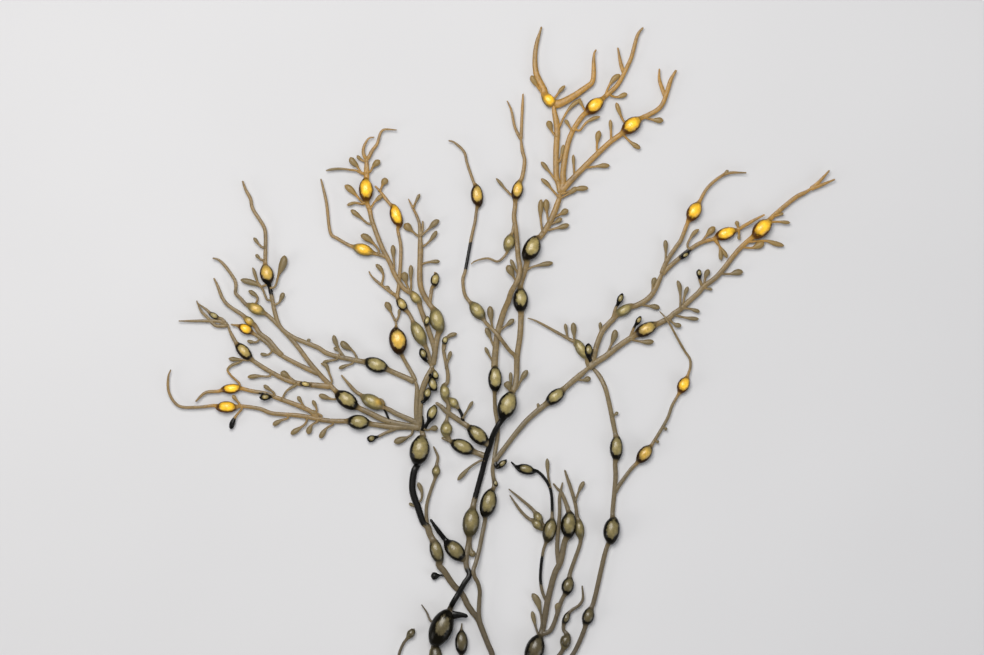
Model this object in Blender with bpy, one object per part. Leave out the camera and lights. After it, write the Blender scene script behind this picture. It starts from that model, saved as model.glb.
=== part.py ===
"""Knotted wrack lying flat: straps with egg-shaped air bladders and small club-shaped receptacles.

The plant lies on its back on a surface, seen from straight above. One solid is made for each frond,
because each grew as one piece, and one for the disc that holds them all to the rock.
"""

import math
import random

import bpy
import numpy as np

# Driving sizes, in metres.
PIXEL = 0.00075  # real size of one photo pixel, from the usual length of this plant's bladders
STRAP_THICKNESS_RATIO = 0.42  # thickness of a strap against its width
THINNEST_STRAP = 0.0011
BLADDER_HEIGHT_RATIO = 0.95  # height of a bladder against its width
BLADDER_REST = 0.90  # a bladder's centre sits at this share of its half height, so it lies on a flat spot
STALK_WIDTH = 0.0017
CLUB_HEIGHT_RATIO = 0.62
TIP_LENGTH = 0.010  # the last stretch of a strap, where it narrows
HOLDFAST_RADIUS = 0.0135
HOLDFAST_HEIGHT = 0.0095
HOLDFAST_SIDES = 14
STRAIGHT_ENOUGH = 1.7  # waypoints this close to a straight run, in pixels, are left out

# Where the plant's base lies, in photo pixels. It is below the photo, so it is a guess.
HOLDFAST_X, HOLDFAST_Y = 495.0, 781.0

SIDES = 6
THIN_STRAP_SIDES = 4
THIN_STRAP = 3.8  # straps no wider than this, in pixels, and without a large bladder have the fewer sides
CLUB_SIDES = 4
# Stations along a bladder, from -1 at its base to 1 at its tip, and its width there.
BLADDER_STATIONS = [(-0.80, 0.62), (-0.42, 0.93), (0.12, 1.00), (0.58, 0.83), (0.86, 0.52)]
SMALL_BLADDER_STATIONS = [(-0.62, 0.75), (0.05, 1.00), (0.70, 0.70)]
SMALL_BLADDER = 9.5  # bladders narrower than this, in pixels, take the short list
# Stations along a club from root to tip: share of the length, share of the head's width.
CLUB_STATIONS = [(0.52, 0.36), (0.80, 1.00), (1.00, 0.50)]

# The photo was traced by eye. Every pair below is a waypoint in photo pixels, from base to tip.
# A third number is the height above the surface in millimetres, given where straps cross.


def egg(x, y, length, width, height=None):
    """A bladder centred on a waypoint."""
    return ("egg", x, y, length, width, height)


def strap(base_width, tip_width, *points):
    return (base_width, tip_width, points)


def club(width, *points):
    return (width, points)


LEFT_STRAPS = [
    strap(5.0, 7.0, (494, 761, 2.3), (496, 700, 2.3), (492, 654, 2.3), (488, 644, 2.3), (484.5, 635, 2.3),
          (481, 626, 2.3), (477.5, 618, 2.3), (472, 611, 2.3), (467, 603.5, 2.3), (463.5, 596, 2.3),
          (459, 590, 2.3), (455, 586.5, 2.5), (449, 578.5, 3), (444, 570.5), (439, 564.5),
           egg(436.6, 551, 25, 13),
          (430, 534), (427.5, 526), (424, 523), (421.5, 516), (418, 507), (414.5, 497.5), (412.6, 489.5),
          (413, 480), (414.5, 470.5), (417, 465.5), egg(419.8, 450, 28, 20), (423, 436), (421, 426)),
    strap(6.0, 2.4, (421, 428), (406, 426.7), (396, 427), (382, 425.3), (371, 423.8),
           egg(358.7, 422, 22, 15),
          (345, 421), (338.5, 421.2), (329, 420.6), (319, 418.8), (309.6, 417), (300, 415.5), (280, 414),
          (270.6, 412.7), (261, 408.8), (251, 407), (240, 406), egg(226.8, 406.9, 21, 12), (215.8, 405.5),
          (208, 406.4), (198.5, 407), (187, 407), (179, 405.5), (173.5, 400), (169.6, 392.5), (168.2, 384),
          (169, 376), (171.5, 369.5)),
    strap(5.0, 3.0, (319, 418), (310, 410.7), (295.2, 404.8), (285.5, 400.7), (275.8, 397.1), (266, 393.4),
          (260, 392.5), (251, 390.6), (243.7, 388.7), egg(231.6, 388.7, 20, 10), (219.6, 391),
           (212.9, 391.5),
          (206, 392.5), (200.5, 397.5), (196, 401.5)),
    strap(6.0, 3.0, (419, 427), (405, 425), (396, 423.5), (386.5, 420.5), (377, 416), (367, 411.5),
          (359.6, 408), egg(347, 399.7, 26, 16), (335, 390), (330, 385), (324, 379.5), (318.5, 372.7),
          (312.7, 366), (307, 359), (301, 350.5), (295, 343), (287, 334), (279, 325), (272, 318),
           (267.7, 315),
          egg(256.4, 309, 19, 11), (246, 304), (240.8, 298.3), (236, 293), (236.4, 287.7), (235.5, 281),
          (232, 274), (228, 268.5), (222.5, 262.7), (217.7, 259.3), (213, 258.3)),
    strap(5.5, 3.5, (331, 386.5), (320, 385.5), (310, 384.5), (299.4, 383), (289.8, 381), (280, 377),
          (270.6, 372.3), (261, 366.5), (254, 361), egg(244.3, 351.5, 22, 11.5), (236, 342), (232, 335),
          (229.3, 328.5), (228.5, 324)),
    strap(4.0, 2.0, (228.5, 325), (219.6, 321.3), (208, 320.9), (189, 320.4), (179, 321)),
    strap(3.5, 2.5, (228.5, 325), (222, 326), (216, 325.5), (211.5, 322), (207, 316.5), (202, 311.5),
          (199, 306), (197, 300.5)),
    strap(3.5, 2.5, (227, 322), (222.5, 319.4), egg(214.5, 315.7, 11, 6), (208, 310.5), (203, 307),
          (198.5, 303.5)),
    strap(5.0, 3.0, (319, 374), (306, 368), (294, 362), (283, 356.5), (275, 351), (268, 343.5),
          (262, 338.5), (256, 334.8), egg(245.9, 329.2, 15.5, 10), (237.5, 325.5), (231, 324.5)),
    strap(5.0, 3.0, (283, 356), (278, 351), (273.5, 345.4), (268.7, 339.6), (260, 333), (255, 325),
          egg(249.5, 321, 12, 8), (243.7, 315.6), (237, 311), (231, 307), (225.4, 302), (221.5, 293.5),
          (217.7, 285), (214.3, 278)),
    strap(5.5, 3.0, (419, 425), (414.4, 421.5), (405.8, 417.5), (396, 413.3), (389.4, 409.5),
          egg(372.5, 401.5, 24, 14), (360, 394), (356, 391.5), (348, 382.5), (341.3, 374.8)),
    strap(5.0, 5.0, (421, 428), (417, 418), (416.3, 408), (416.8, 395), (417, 386.5), (415, 381)),
    strap(5.4, 3.2, (416, 382), (408, 378.5), (400, 374.6), (390.6, 370.8), egg(376.2, 365, 24, 15),
          (363.7, 361.6), (357, 360.2), (347.3, 358.8), (337.7, 356.8), (328, 353.5), (318.5, 347.7),
          (309, 343.8), (299, 340), (291.5, 336), (285, 331), (280, 326), (277.5, 320), (275.4, 313.7),
          (273.5, 305), (272, 296.3), (270.5, 289), egg(267.3, 274.5, 20, 14), (265.5, 264.5), (265.3, 257),
          (265.3, 245.5), (265.8, 234), (264.3, 227), (261, 221.3), (256, 214.6), (252.8, 208),
           (250.9, 199),
          (245.6, 188.7), (243, 181)),
    strap(3.9, 3.6, (416, 382), (413.7, 376.5), (409.8, 369.8), (406, 363), (403, 357.3),
          egg(398.3, 341, 27, 18), (396.3, 324.5), (395.4, 320.8)),
    strap(5.5, 6.0, (421, 424), (420.5, 401), (423, 388), (429, 375), (433, 365)),
    strap(4.2, 3.0, (432, 367), (430, 359), (427.5, 352), (425.5, 346), egg(418.8, 333.5, 26, 13),
          (410, 315), (406.5, 310.5), egg(402.1, 304.5, 15, 9.5), (397.5, 297), (398.6, 288), (399.4, 280),
          (400.2, 270.8), (401.2, 259), (401, 247), (400, 237), (398, 229), egg(396.2, 216.2, 24, 12),
          (390, 204), (386.5, 198.5), (382.7, 193.7), (378.8, 189.8), (375, 186)),
    strap(3.5, 2.2, (397.5, 297), (390.6, 292), (385.8, 289), (381, 285), (376, 281), (372, 276.5),
          (369, 271)),
    strap(5.0, 4.5, (433, 366), (435, 353), (432, 341), (429.5, 331), (425.5, 320), (422, 311),
          (419.5, 304.5), egg(415.6, 298, 15, 9), (409, 292), (404, 288.5), (398.3, 281), (394.4, 273.5),
          (390.6, 264), (386, 255), (381.5, 246), (378, 237), (374, 227.3), (371.6, 218.7), (370, 211),
          (367.3, 203.3), egg(366.3, 190.3, 23, 14.5), (366.3, 177)),
    strap(5.3, 5.6, (366.6, 187.5), (366.6, 179), (366.5, 170), (366.8, 158)),
    strap(3.5, 2.0, (366.8, 160), (364.4, 156), (363.5, 149.5), (365.4, 143.7), (369, 138.8),
           (374.5, 137.4)),
    strap(3.5, 2.0, (366.8, 160), (369.2, 157), (372, 151.3), (377, 144.6), (379.8, 136), (382.7, 130.7),
          (388.5, 130), (397, 130.2)),
    strap(3.5, 2.8, (386, 258), (377, 254.2), egg(363.3, 249.9, 21, 12), (350, 245.6), (343.3, 241.7),
          (336.5, 238), (331.7, 235), (329.8, 231), (328.4, 223.5), (327.4, 214), (326.4, 201),
           (324, 191.7),
          (321.2, 179)),
    strap(5.4, 5.4, (433, 366), (434.5, 357), (436, 345), (438, 335), egg(437, 320.5, 25, 14.5),
           (429.5, 304),
          (424, 295), (420.5, 285), (419.5, 272), (420.5, 258), (420.5, 248), (420, 232)),
    strap(3.5, 2.2, (420, 236), (419, 222), (414, 210), (408.5, 199)),
    strap(3.0, 3.0, (420, 236), (422.5, 229), (423, 221)),
    strap(3.5, 3.0, (427.5, 524), (426.5, 507), (427.5, 499), (430.4, 491.5), (433.3, 484), (435.2, 478),
          egg(436.2, 471, 11, 9), (437, 462.7), (438, 457), (436, 451), (433.5, 446)),
]

# Small dark bladders that stand up out of the tangle where the straps part.
LEFT_UPRIGHT = [
    strap(4.0, 2.0, (424, 432, 5), (423.5, 424, 6.5), (423, 415.5, 7.5)),
    strap(4.0, 2.0, (425, 431, 5), (427, 424, 6.5), egg(432.2, 412.8, 17, 10, 8), (434.5, 404, 8)),
    strap(3.0, 2.0, (421.5, 403, 4.5), (425, 400.5, 6), egg(427.4, 393.6, 12, 8, 7), (428, 387, 7)),
    strap(3.0, 2.0, (430.5, 373, 4.5), (430.8, 376, 5.5), egg(433, 384.3, 15, 9, 7), (434.5, 391, 7)),
    strap(3.0, 2.0, (432, 367, 4.5), (433.5, 370, 6), egg(435.6, 375, 9, 7, 7), (437, 380, 7)),
    strap(3.0, 2.0, (429, 363, 4.5), (426, 360.5, 5.5), egg(423.3, 354, 12, 8, 7), (421.5, 347.5, 7)),
    strap(3.0, 2.0, (424.5, 326, 4.5), egg(427, 321, 9, 6, 6.5), (426.5, 316, 6.5)),
    strap(3.5, 3.0, (430, 303), (431, 295), (432, 288), egg(435, 280, 14, 9), (434.5, 272)),
    strap(3.5, 3.0, (272, 396.5, 4.5), egg(265.5, 397, 10, 7, 6.5), (260, 397.5, 6.5)),
    strap(3.0, 2.5, (313, 385.5, 4.6), egg(305.5, 384, 10, 6, 6), (299.5, 383, 5.6)),
    strap(3.5, 2.5, (399, 428), (385, 433), (378, 436.5), egg(371.5, 438.5, 9, 7.5), (367.5, 440)),
]

LEFT_CLUBS = [
    club(3.5, (262, 247), (254, 237.7)),
    club(3.5, (262, 260), (256, 254.5)),
    club(8, (275, 287), (279, 275), (284, 262), (285, 255.5)),
    club(3, (261, 286), (253, 267.5)),
    club(6, (268, 300), (261, 286.7), (246, 281), (241, 280)),
    club(4.5, (258, 298), (252, 292.5), (249, 290.5)),
    club(5, (274, 305), (279, 303), (284, 292.5)),
    club(5, (345, 358), (338, 347), (335, 340), (334, 335)),
    club(3.5, (340, 352), (334, 347.5)),
    club(7, (357, 358), (353, 351), (344.5, 345), (341.5, 341)),
    club(3, (338, 358.5), (323, 362)),
    club(4, (353, 363), (345, 366), (339, 368.5)),
    club(4, (332, 382), (329, 372), (326, 365), (321, 363.5)),
    club(3.5, (257, 342), (247.5, 341)),
    club(3.5, (269, 354.5), (260.5, 354)),
    club(4.5, (250, 360), (240, 359.5), (229, 358.8)),
    club(2.5, (240, 384), (231, 375), (228, 370), (231, 366), (243, 361)),
    club(4.5, (270, 376), (258, 376), (248, 377)),
    club(7, (296, 382), (288, 376), (281, 372)),
    club(4, (275, 394), (264, 385)),
    club(2.8, (283, 398), (287, 391), (298, 384)),
    club(4, (305, 408), (298, 396)),
    club(4, (240, 404), (236, 399), (233, 395)),
    club(5.5, (242, 409), (237, 415), (234, 420), (231, 429)),
    club(5, (288, 418), (282, 420), (273, 425)),
    club(5.5, (306, 423), (300, 428), (291, 434)),
    club(6, (318, 421), (312, 425), (308, 434)),
    club(5.5, (333, 424), (327, 428), (320, 438)),
    club(5, (322, 416), (310, 411)),
    club(4, (317, 410), (313, 400)),
    club(5.5, (336, 399), (319, 395)),
    club(7, (412, 434), (399, 440.5), (394, 442)),
    club(7, (390.5, 422), (386, 412), (381, 402), (377, 399)),
    club(6.5, (395.4, 321), (392, 314), (389, 307.3), (385.8, 302)),
    club(3, (397, 320), (399, 315), (399.5, 309)),
    club(4.5, (382, 284), (383.5, 275), (380, 268), (376, 264.5)),
    club(4, (393.5, 294), (386, 286)),
    club(7.5, (409, 291), (406, 282), (404, 272)),
    club(4.5, (411, 289), (411, 275), (411, 265)),
    club(5, (394, 268), (393.5, 255), (393, 245)),
    club(7, (379, 251), (373, 243), (367, 238), (361, 235)),
    club(5, (369, 224), (360, 217), (351, 210)),
    club(4.5, (371, 208), (375, 202), (383, 195)),
    club(3, (362, 204), (355, 203), (347, 205.5)),
    club(6.5, (364, 203), (356, 195), (350, 189), (345, 185.5)),
    club(7, (380, 192), (382, 187), (384.5, 182), (388, 179.5)),
    club(6.5, (370, 172), (374, 166), (380, 160.5)),
    club(6.5, (362, 173), (357, 166), (353, 162), (350.5, 157.5)),
    club(3.5, (363, 161), (357, 156)),
    club(2.2, (362, 174), (357, 171), (350, 170), (340, 169), (330, 170), (326, 171)),
    club(8, (418, 236), (412, 231), (404.5, 224)),
    club(6, (421, 236), (430, 228), (434, 224), (439, 220)),
    club(4.5, (422, 247), (428, 243), (433, 237), (437, 231)),
    club(3, (413, 209), (416, 202), (420, 194)),
    club(4, (420, 265), (430, 262), (440, 261.5)),
    club(6, (427.5, 430), (432, 428.5), (438, 427.5)),
    club(8, (447, 575), (441, 575), (431, 576)),
    club(4.5, (421, 500), (422, 492), (418, 482)),
    club(3, (418, 508), (409, 503)),
    club(4, (309, 343), (309, 338.5)),
]

MIDDLE_STRAPS = [
    strap(5.2, 5.8, (482.5, 765.5), (466, 735), (447, 700), (438, 678), egg(436, 657, 26, 14), (434.5, 645),
          egg(441.5, 627, 38, 23), (450.5, 607.5), (453, 602, 7), (459, 592, 7), (464, 583, 7),
           (469.5, 574, 6.3),
          (466.5, 566, 5.5), (466.5, 555, 5), (469, 541), egg(471, 522, 29, 17), (473.5, 504), (476, 493),
          (479, 483), (482.5, 470), (485.5, 458, 5), (489.5, 446, 6), (493, 435, 7.5), (497.5, 426, 8.3),
          (502, 419, 8.3), egg(507, 405.5, 28, 18.5, 8), (512.5, 392, 6), (515, 386, 5), (516.5, 376),
          (517, 366), (517, 357), (518.5, 346), (520, 335), (520.5, 322), (521, 313),
           egg(520.5, 300, 24, 15.5),
          (520.3, 285), (521.5, 279), (524, 270), (526.8, 263), egg(531.5, 249, 26, 17), (540, 237),
           (545, 230),
          (550, 222), (555, 211), (558, 202), (561, 191)),
    strap(5.5, 6.0, (561, 194), (559, 186), (556.5, 178), (555.5, 165), (556, 152), (557, 138), (557, 128),
          (555.5, 118), (554, 110), (554, 105)),
    strap(8.0, 3.0, (555, 106), egg(549, 101, 18, 11), (544, 91), (540, 84), (536, 73), (534.5, 62),
          (535.5, 50), (538, 38), (541.5, 27)),
    strap(8.0, 2.9, (552, 105), (559, 104), (566, 101), (572, 97.5), (580, 91.5), (587, 87), (591, 84),
          (593, 79), (593, 70), (593, 60), (594, 54), (596, 50)),
    strap(6.0, 3.5, (561, 193), (563, 184), (563, 172), (564.5, 160), (567, 148), (570, 137), (574, 128),
          (578, 121), (583, 115.5), egg(594, 106.5, 21, 14), (603, 98.5), (610, 93), (617, 85.5), (621, 79),
          (624, 72), (627, 67), (631, 58), (633, 50), (635, 41), (638, 34), (643, 28)),
    strap(3.8, 3.0, (624, 73), (621, 66), (618.5, 57), (617.5, 48)),
    strap(6.0, 4.0, (561, 193), (566, 186), (573, 179), (580, 171), (587, 164), (594, 157), (601, 150),
          (608, 144), (615, 139), (620, 135), egg(631, 126, 22, 15), (640, 119), (646, 115.5), (654, 111.5),
          (660, 107.5), (663, 103), (665, 97), (668, 88), (671, 79), (676, 70.5)),
    strap(4.0, 3.0, (665, 97), (661.5, 88), (659, 80), (659, 69)),
    # The branch that leaves under the right frond for the small bladder and the long curled twig.
    strap(3.9, 2.6, (516.5, 362), (515, 356, 5), (510, 351, 6.5), (503, 342, 8.6), (497, 334, 9),
          (492, 329, 8.2), (486, 323, 6), egg(477.3, 311, 21, 13), (469, 301), (465, 295), (463, 286),
           (463, 279),
          (465, 272), (467, 262), (469, 248), (472, 235), (475, 222), (477, 208), egg(477, 196, 23, 12.5),
          (474, 183), (471, 175), (467, 163), (464, 152), (459, 146), (453, 142), (448.5, 141)),
    # Two bladders to the left of the dark strap, and the tangle above them.
    strap(5.5, 5.0, (489.5, 446, 6), egg(478, 435, 25, 15, 6), (467, 425.5), (461, 421), (452, 416),
           (446, 411),
          (441, 406), (435.5, 402.5)),
    strap(5.5, 4.0, (486, 457, 5), (478, 453), egg(462.5, 446.5, 25, 14.5), (450, 440.5), (441.5, 437.5)),
    strap(5.0, 4.0, (450, 440), (447.5, 437), egg(446.5, 429, 15, 12.5), (447, 418), (448, 412)),
    strap(4.5, 3.0, (448, 413), (448.5, 404), egg(445, 392, 16, 10), (447, 383), (448, 376), (446, 366),
          (444, 355), (443.3, 346), egg(445, 340.5, 8, 6.5), (445.5, 336)),
    strap(5.0, 4.2, (466.5, 560, 5.3), (464.5, 559, 5.3), egg(455, 549.8, 26, 16.5), (446.5, 540.5, 5.3),
          (440.5, 533, 6.3), (435.5, 526, 7), (430.5, 518.5, 7)),
    strap(3.4, 2.6, (463, 422.5), (462, 415), (459, 409), egg(453.5, 402.5, 12, 9.5), (448.5, 397)),
    strap(9.0, 6.0, (449, 614, 8), (454, 614, 8), (462, 614, 8), (468, 615.5, 8)),
    strap(2.6, 2.0, (434, 625, 6), (430, 619, 5), (427, 612), (421.5, 604)),
    strap(3.0, 3.0, (447, 699), (425, 690), (405, 674), (399, 657), (403, 644), egg(411, 633, 11, 8),
          (414.5, 628)),
]

MIDDLE_CLUBS = [
    club(6, (543, 94), (536, 85), (531, 76)),
    club(3.5, (555, 98), (560, 91), (565, 86)),
    club(4, (559, 127), (563, 119), (570, 108), (581, 99)),
    club(3.5, (585, 111), (579, 100)),
    club(6.5, (556, 137), (552, 132), (548, 121)),
    club(4, (572, 131), (565, 120)),
    club(3.5, (579, 131), (586, 123), (593, 119), (600, 117)),
    club(4, (559, 162), (562, 152), (563.5, 145)),
    club(3, (574, 177), (573.5, 165), (573, 155)),
    club(6, (597, 152), (597, 142), (599, 131)),
    club(3.5, (611, 140), (610.5, 128), (610, 120)),
    club(4.5, (623, 121), (619, 112), (616, 103)),
    club(5, (584, 168), (594, 167), (602, 166), (609.5, 166)),
    club(5.5, (604, 97), (609, 86), (614, 79), (620, 75)),
    club(5, (611, 96), (617, 97.5), (627, 94)),
    club(6, (643, 118), (652, 120), (663, 121)),
    club(5, (624, 136), (631, 143), (640, 149)),
    club(4.5, (556, 181), (550, 173), (541, 162)),
    club(4.5, (559, 198), (552, 190), (547, 184), (541, 179)),
    club(5.5, (561, 198), (570, 193), (577, 187.5)),
    club(5.5, (562, 194), (575, 189.5), (583, 188.5), (588, 188.5)),
    club(5.5, (543, 233), (540.5, 218), (540.5, 207), (541, 199.5)),
    club(6.5, (549, 223), (546.5, 210), (546, 199.5)),
    club(6.5, (554, 217), (561, 214), (568, 210)),
    club(4.5, (548, 226), (556, 222), (562, 218.5)),
    club(5.5, (547, 230), (558, 228), (569, 225)),
    club(5, (524, 273), (530, 268), (543, 264.5), (553, 263)),
    club(5.5, (516, 389), (521, 380), (524, 375), (527.5, 370)),
    club(8.5, (511, 394), (509, 389), (507, 381)),
    club(3.5, (512, 392), (511, 384), (510.5, 372)),
    club(3.2, (463, 418), (468, 409), (473, 401)),
    club(4.5, (444, 350), (448, 337), (457, 333.5)),
    club(4, (446, 368), (449, 358), (451, 351)),
    club(4.5, (482, 460), (470, 467), (463, 474), (457.5, 480)),
    club(7, (470, 541), (472, 553), (476, 553)),
]

RIGHT_STRAPS = [
    strap(4.6, 3.7, (495.5, 761, 6), (498, 700, 6), (492.5, 654, 6), (488.5, 644, 6), (484.5, 633, 6),
          (481, 624, 6), (479, 614, 6), (479.3, 600, 6), (479.8, 590, 7), (478, 582, 8.8),
           (474.5, 575, 10.2),
          (473.5, 569, 10.2), (475.5, 563, 8.8), (479, 550, 6), (482, 535, 5), (485, 520),
           egg(488.3, 503, 29, 16.5),
          (494, 486), (492.6, 470), (493.6, 462), (494.5, 455, 3.2), (496.5, 443, 2.4), (498, 431, 2.2),
           (497, 420, 2.2),
          (495.3, 411, 2.2), (494.7, 402, 2.6), (494.7, 392), egg(495, 379, 26, 14), (494.6, 364)),
    strap(6.6, 3.4, (495, 374), (494.6, 364), (494.9, 355), (496, 345), (497.5, 334), (500.3, 323),
           (504, 311, 5), (508.3, 301, 7), (511.2, 292, 9),
          (516, 283.5, 9.9), (519, 276, 9.9), (519.7, 267, 8.4), (518, 257, 6.4), (517.4, 248), (517, 239),
          (515.6, 228), (514, 217), (515, 206), egg(517.3, 191, 20, 11.5), (521.8, 178), (523.6, 168),
          (524.5, 160), (522.5, 152), (521, 142), (520.4, 136)),
    strap(3.0, 2.4, (521, 140), (515, 128), (513, 118), (511, 110), (507, 101)),
    strap(3.0, 2.8, (521, 140), (521.5, 125), (522.5, 110), (523, 94)),
    strap(3.0, 2.0, (514.5, 222), (512.3, 233), egg(509, 243, 17, 11.5), (507, 252.5), (503, 258.5),
          (498, 261.5), (494, 260.5), (488, 258.5), (480, 259), (475, 261.3), (471, 264.3)),
    strap(4.8, 5.8, (493.8, 463), (499.5, 454.5), (505.2, 447), (511, 439), (517.8, 430), (526, 421),
           (535.5, 411.5),
          (545, 404.5), egg(555, 396.5, 22, 13), (563, 389.5), (570, 384), (577, 378), (584, 372),
          (590, 366.5)),
    strap(5.4, 5.2, (589, 368), (592, 362), (595, 352), (597, 344), (600, 337), (603, 330), (607, 325),
          (613, 319), egg(623.5, 310.5, 19, 10), (636, 305.5), (643, 302), (650, 296.5), (655, 288),
          (659, 280), (663, 271)),
    strap(4.6, 2.5, (661, 275), (665, 264), (669, 256), (675, 248), (680, 241), (684, 233), (686, 226),
          (688, 221), egg(693.5, 212, 21, 14), (699.5, 201), (703, 194), (708, 187), (714, 181), (720, 177),
          (726, 174), (733, 172.5), (740, 172.5), (746, 173)),
    strap(4.6, 3.0, (661, 275), (670, 266), (677, 260), (684, 254), (691, 248.5), (698, 244), (705, 241.5),
          (713, 239), egg(725, 234, 22, 12.5), (737, 230), (742, 227, 5), (748, 223.5, 6), (757, 218.5, 7),
          (764, 215, 7.5)),
    strap(6.0, 4.2, (587, 368.5), (597, 361.5), (605, 356.5), (612, 350.5), (620, 345), (628, 339.5),
          (633.5, 336), egg(645.5, 329.5, 24, 13), (657, 324), (663, 321.5), (668, 318.5), (674, 313.4),
          (679.6, 309.6), (684.8, 304.4), (690.8, 299.3), (697.7, 293.2), (703, 287), (710, 282),
           (716, 277),
          (721, 271.5), (727, 264), (733, 256), (739, 249), (745, 243.5), (750.5, 238.5),
          egg(761, 229, 24, 15.5), (770, 219), (775, 214), (782, 208.5), (789, 202), (796, 197), (804, 193),
          (812, 188)),
    strap(3.6, 2.8, (810, 189), (817, 183.5), (823, 178), (829, 170.5)),
    strap(3.6, 2.6, (810, 189), (819, 186), (826, 182.5), (834.5, 179.5)),
    # The wedge above the fork, which narrows into a long twig to the left.
    strap(4.4, 2.0, (589, 368), (587, 361), egg(581.5, 350, 25, 10.5), (573, 341), (568, 337.5),
          (560, 332.7), (552, 328.6), (545, 325), (535, 320.5), (527.5, 318)),
]

RIGHT_UPRIGHT = [
    strap(3.5, 2.5, (592, 363, 4.5), (589, 358, 6), egg(588.3, 350.5, 14, 8.5, 7.5), (588.5, 343, 7.5)),
    strap(3.0, 2.5, (612, 320, 4.5), (615, 309, 5), egg(619.8, 299, 11, 6.5, 5), (622, 293, 5)),
    strap(3.0, 2.5, (629, 339, 4.5), (634, 327, 5.5), egg(638, 320.5, 9, 5.5, 6), (640.5, 316, 6)),
    strap(3.0, 2.5, (702, 287, 4.5), (699, 279, 5), egg(698.5, 273.5, 8, 6, 5), (697.5, 269.5, 5)),
    strap(3.5, 3.0, (679, 259, 4.5), egg(684.5, 255.5, 9, 5, 6), (689, 252.5, 6)),
    strap(4.0, 3.0, (494.5, 458, 5), (497, 467, 6), egg(502, 463.5, 11, 6.5, 6.5), (506.5, 459, 6.5)),
    strap(4.0, 3.0, (492.7, 478, 5), egg(495.6, 483, 6, 5, 5.5), (496, 486.5, 5.5)),
]

RIGHT_CLUBS = [
    club(6, (575, 346), (574, 335), (573.5, 328), (573, 322.5)),
    club(3.5, (568, 340), (566, 330), (565, 323.5)),
    club(3.5, (600, 337), (600, 322)),
    club(6.5, (606, 356), (612, 342), (614.5, 335), (615, 329.5)),
    club(5.5, (630, 339), (640, 341.5), (647, 342), (653.5, 341.5)),
    club(5.5, (652, 294), (652.5, 285), (655, 277.5)),
    club(5.5, (639, 304.5), (648, 306), (653, 306.5), (659.5, 308)),
    club(4.5, (665.5, 264), (665.5, 252), (665, 240)),
    club(4.5, (680, 308), (680, 295), (679, 286), (677, 280.5)),
    club(4, (683, 305), (684, 297), (687.5, 286.5)),
    club(4, (674, 315), (687, 318), (698.5, 319)),
    club(4, (681, 308), (690, 309), (699.5, 312)),
    club(4, (687, 246), (693, 234), (698.5, 229.5)),
    club(6.5, (699, 244), (706, 236), (710, 231.5), (714.5, 227)),
    club(5.5, (704, 286), (705, 277), (708.5, 269.5)),
    club(3, (703, 288), (712, 289.5)),
    club(6.5, (719, 274), (730, 274), (736, 272.5), (742.5, 272)),
    club(4, (714, 240), (722, 250), (727, 258)),
    club(4.5, (716, 240), (719.5, 248), (720.5, 260.5)),
    club(7.5, (742, 247), (752, 248), (757, 246), (763.5, 242.5)),
    club(5, (748, 242), (766, 241), (774, 243.5), (783.5, 246)),
    club(3.5, (769, 222), (779, 222), (789.5, 223)),
    club(3, (774, 216), (783, 213.5)),
    club(4.5, (738, 230.5), (736, 221)),
    club(3, (738, 230), (738.5, 240)),
    club(3, (722, 176), (728, 170.5)),
    club(6, (576, 379), (583, 380), (590.5, 378)),
    club(3, (538, 410), (538, 403)),
    club(6.5, (494, 332), (491.5, 322), (490.4, 313), (490, 306)),
    club(5.5, (495, 348), (490, 337), (486, 327.5)),
    club(3.5, (494.5, 365), (489, 355), (485, 347)),
    club(5, (498, 332), (507, 325), (514, 319)),
    club(7.5, (517, 283), (514, 278), (510.5, 271), (507, 265.5)),
    club(4, (519, 276), (514, 267), (510.5, 259.5)),
    club(2.8, (514, 198), (505, 189), (500, 183), (496, 178.5)),
    club(5, (668, 319), (675, 324.5), (681, 326)),
]

LOW_STRAPS = [
    strap(5.0, 2.5, (489.8, 760.5), (479, 735), (468, 700), (463, 668), (461.5, 657),
           egg(461.5, 642, 25, 13),
          (461.5, 628), (462, 622.5)),
]

LOWER_RIGHT_STRAPS = [
    strap(6.0, 6.0, (500.5, 762), (512, 725), (522, 690), (528, 669), egg(534.5, 649, 30, 19), (541, 634),
          (544, 622), (546, 608), (548.5, 596), (551.5, 585), (555, 572), (560, 562), (563, 552),
           (565, 540),
          egg(568.3, 524.5, 27, 15.5), (567.5, 508)),
    strap(4.4, 3.0, (568, 515), (567.5, 508), (564.5, 499), (561, 492), (557, 488), (553, 483)),
    strap(4.5, 3.0, (559, 564), (557, 548), (557.5, 535), (559.5, 512), (559.5, 497), (562.5, 482)),
    strap(3.0, 3.0, (547, 603), (542.5, 592), (540.3, 578), (541, 562), (543, 551), (545.3, 543.5),
          egg(549.3, 530, 25, 13.5), (552, 516.5), (552.5, 508), (552, 498), (550, 488), (547, 481),
          (541, 474), (536, 470.5), egg(525.5, 469, 20, 10.5), (515, 465.5), (511, 461.5)),
    strap(4.0, 2.2, (546, 532), egg(538, 517, 12, 9), (532, 508.5), (525, 502), (515, 494), (508.5, 488.5)),
    strap(4.0, 2.2, (544, 533), egg(537, 524, 13, 9), (529, 518.5), (521, 511), (514, 501), (509.5, 494.5)),
    strap(4.4, 3.4, (541, 634), (550, 630), (555, 621), (558, 610), (561, 601), (564, 595),
          egg(567.5, 585.5, 18, 12.5), (569.5, 574), (572, 568), (575, 560), (578, 552), (580, 543),
          egg(579.5, 529, 20, 9.6), (576.8, 515), (575, 503), (572, 494), (569, 483), (564.5, 469.5)),
    strap(5.0, 2.5, (531, 664), (545, 664), (557, 657), egg(565.3, 640.5, 16, 11), (563.5, 629),
          egg(566, 618, 13, 7), (572.5, 609), (578.5, 605), (582.5, 599), (583, 592), (582, 585)),
]

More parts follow.
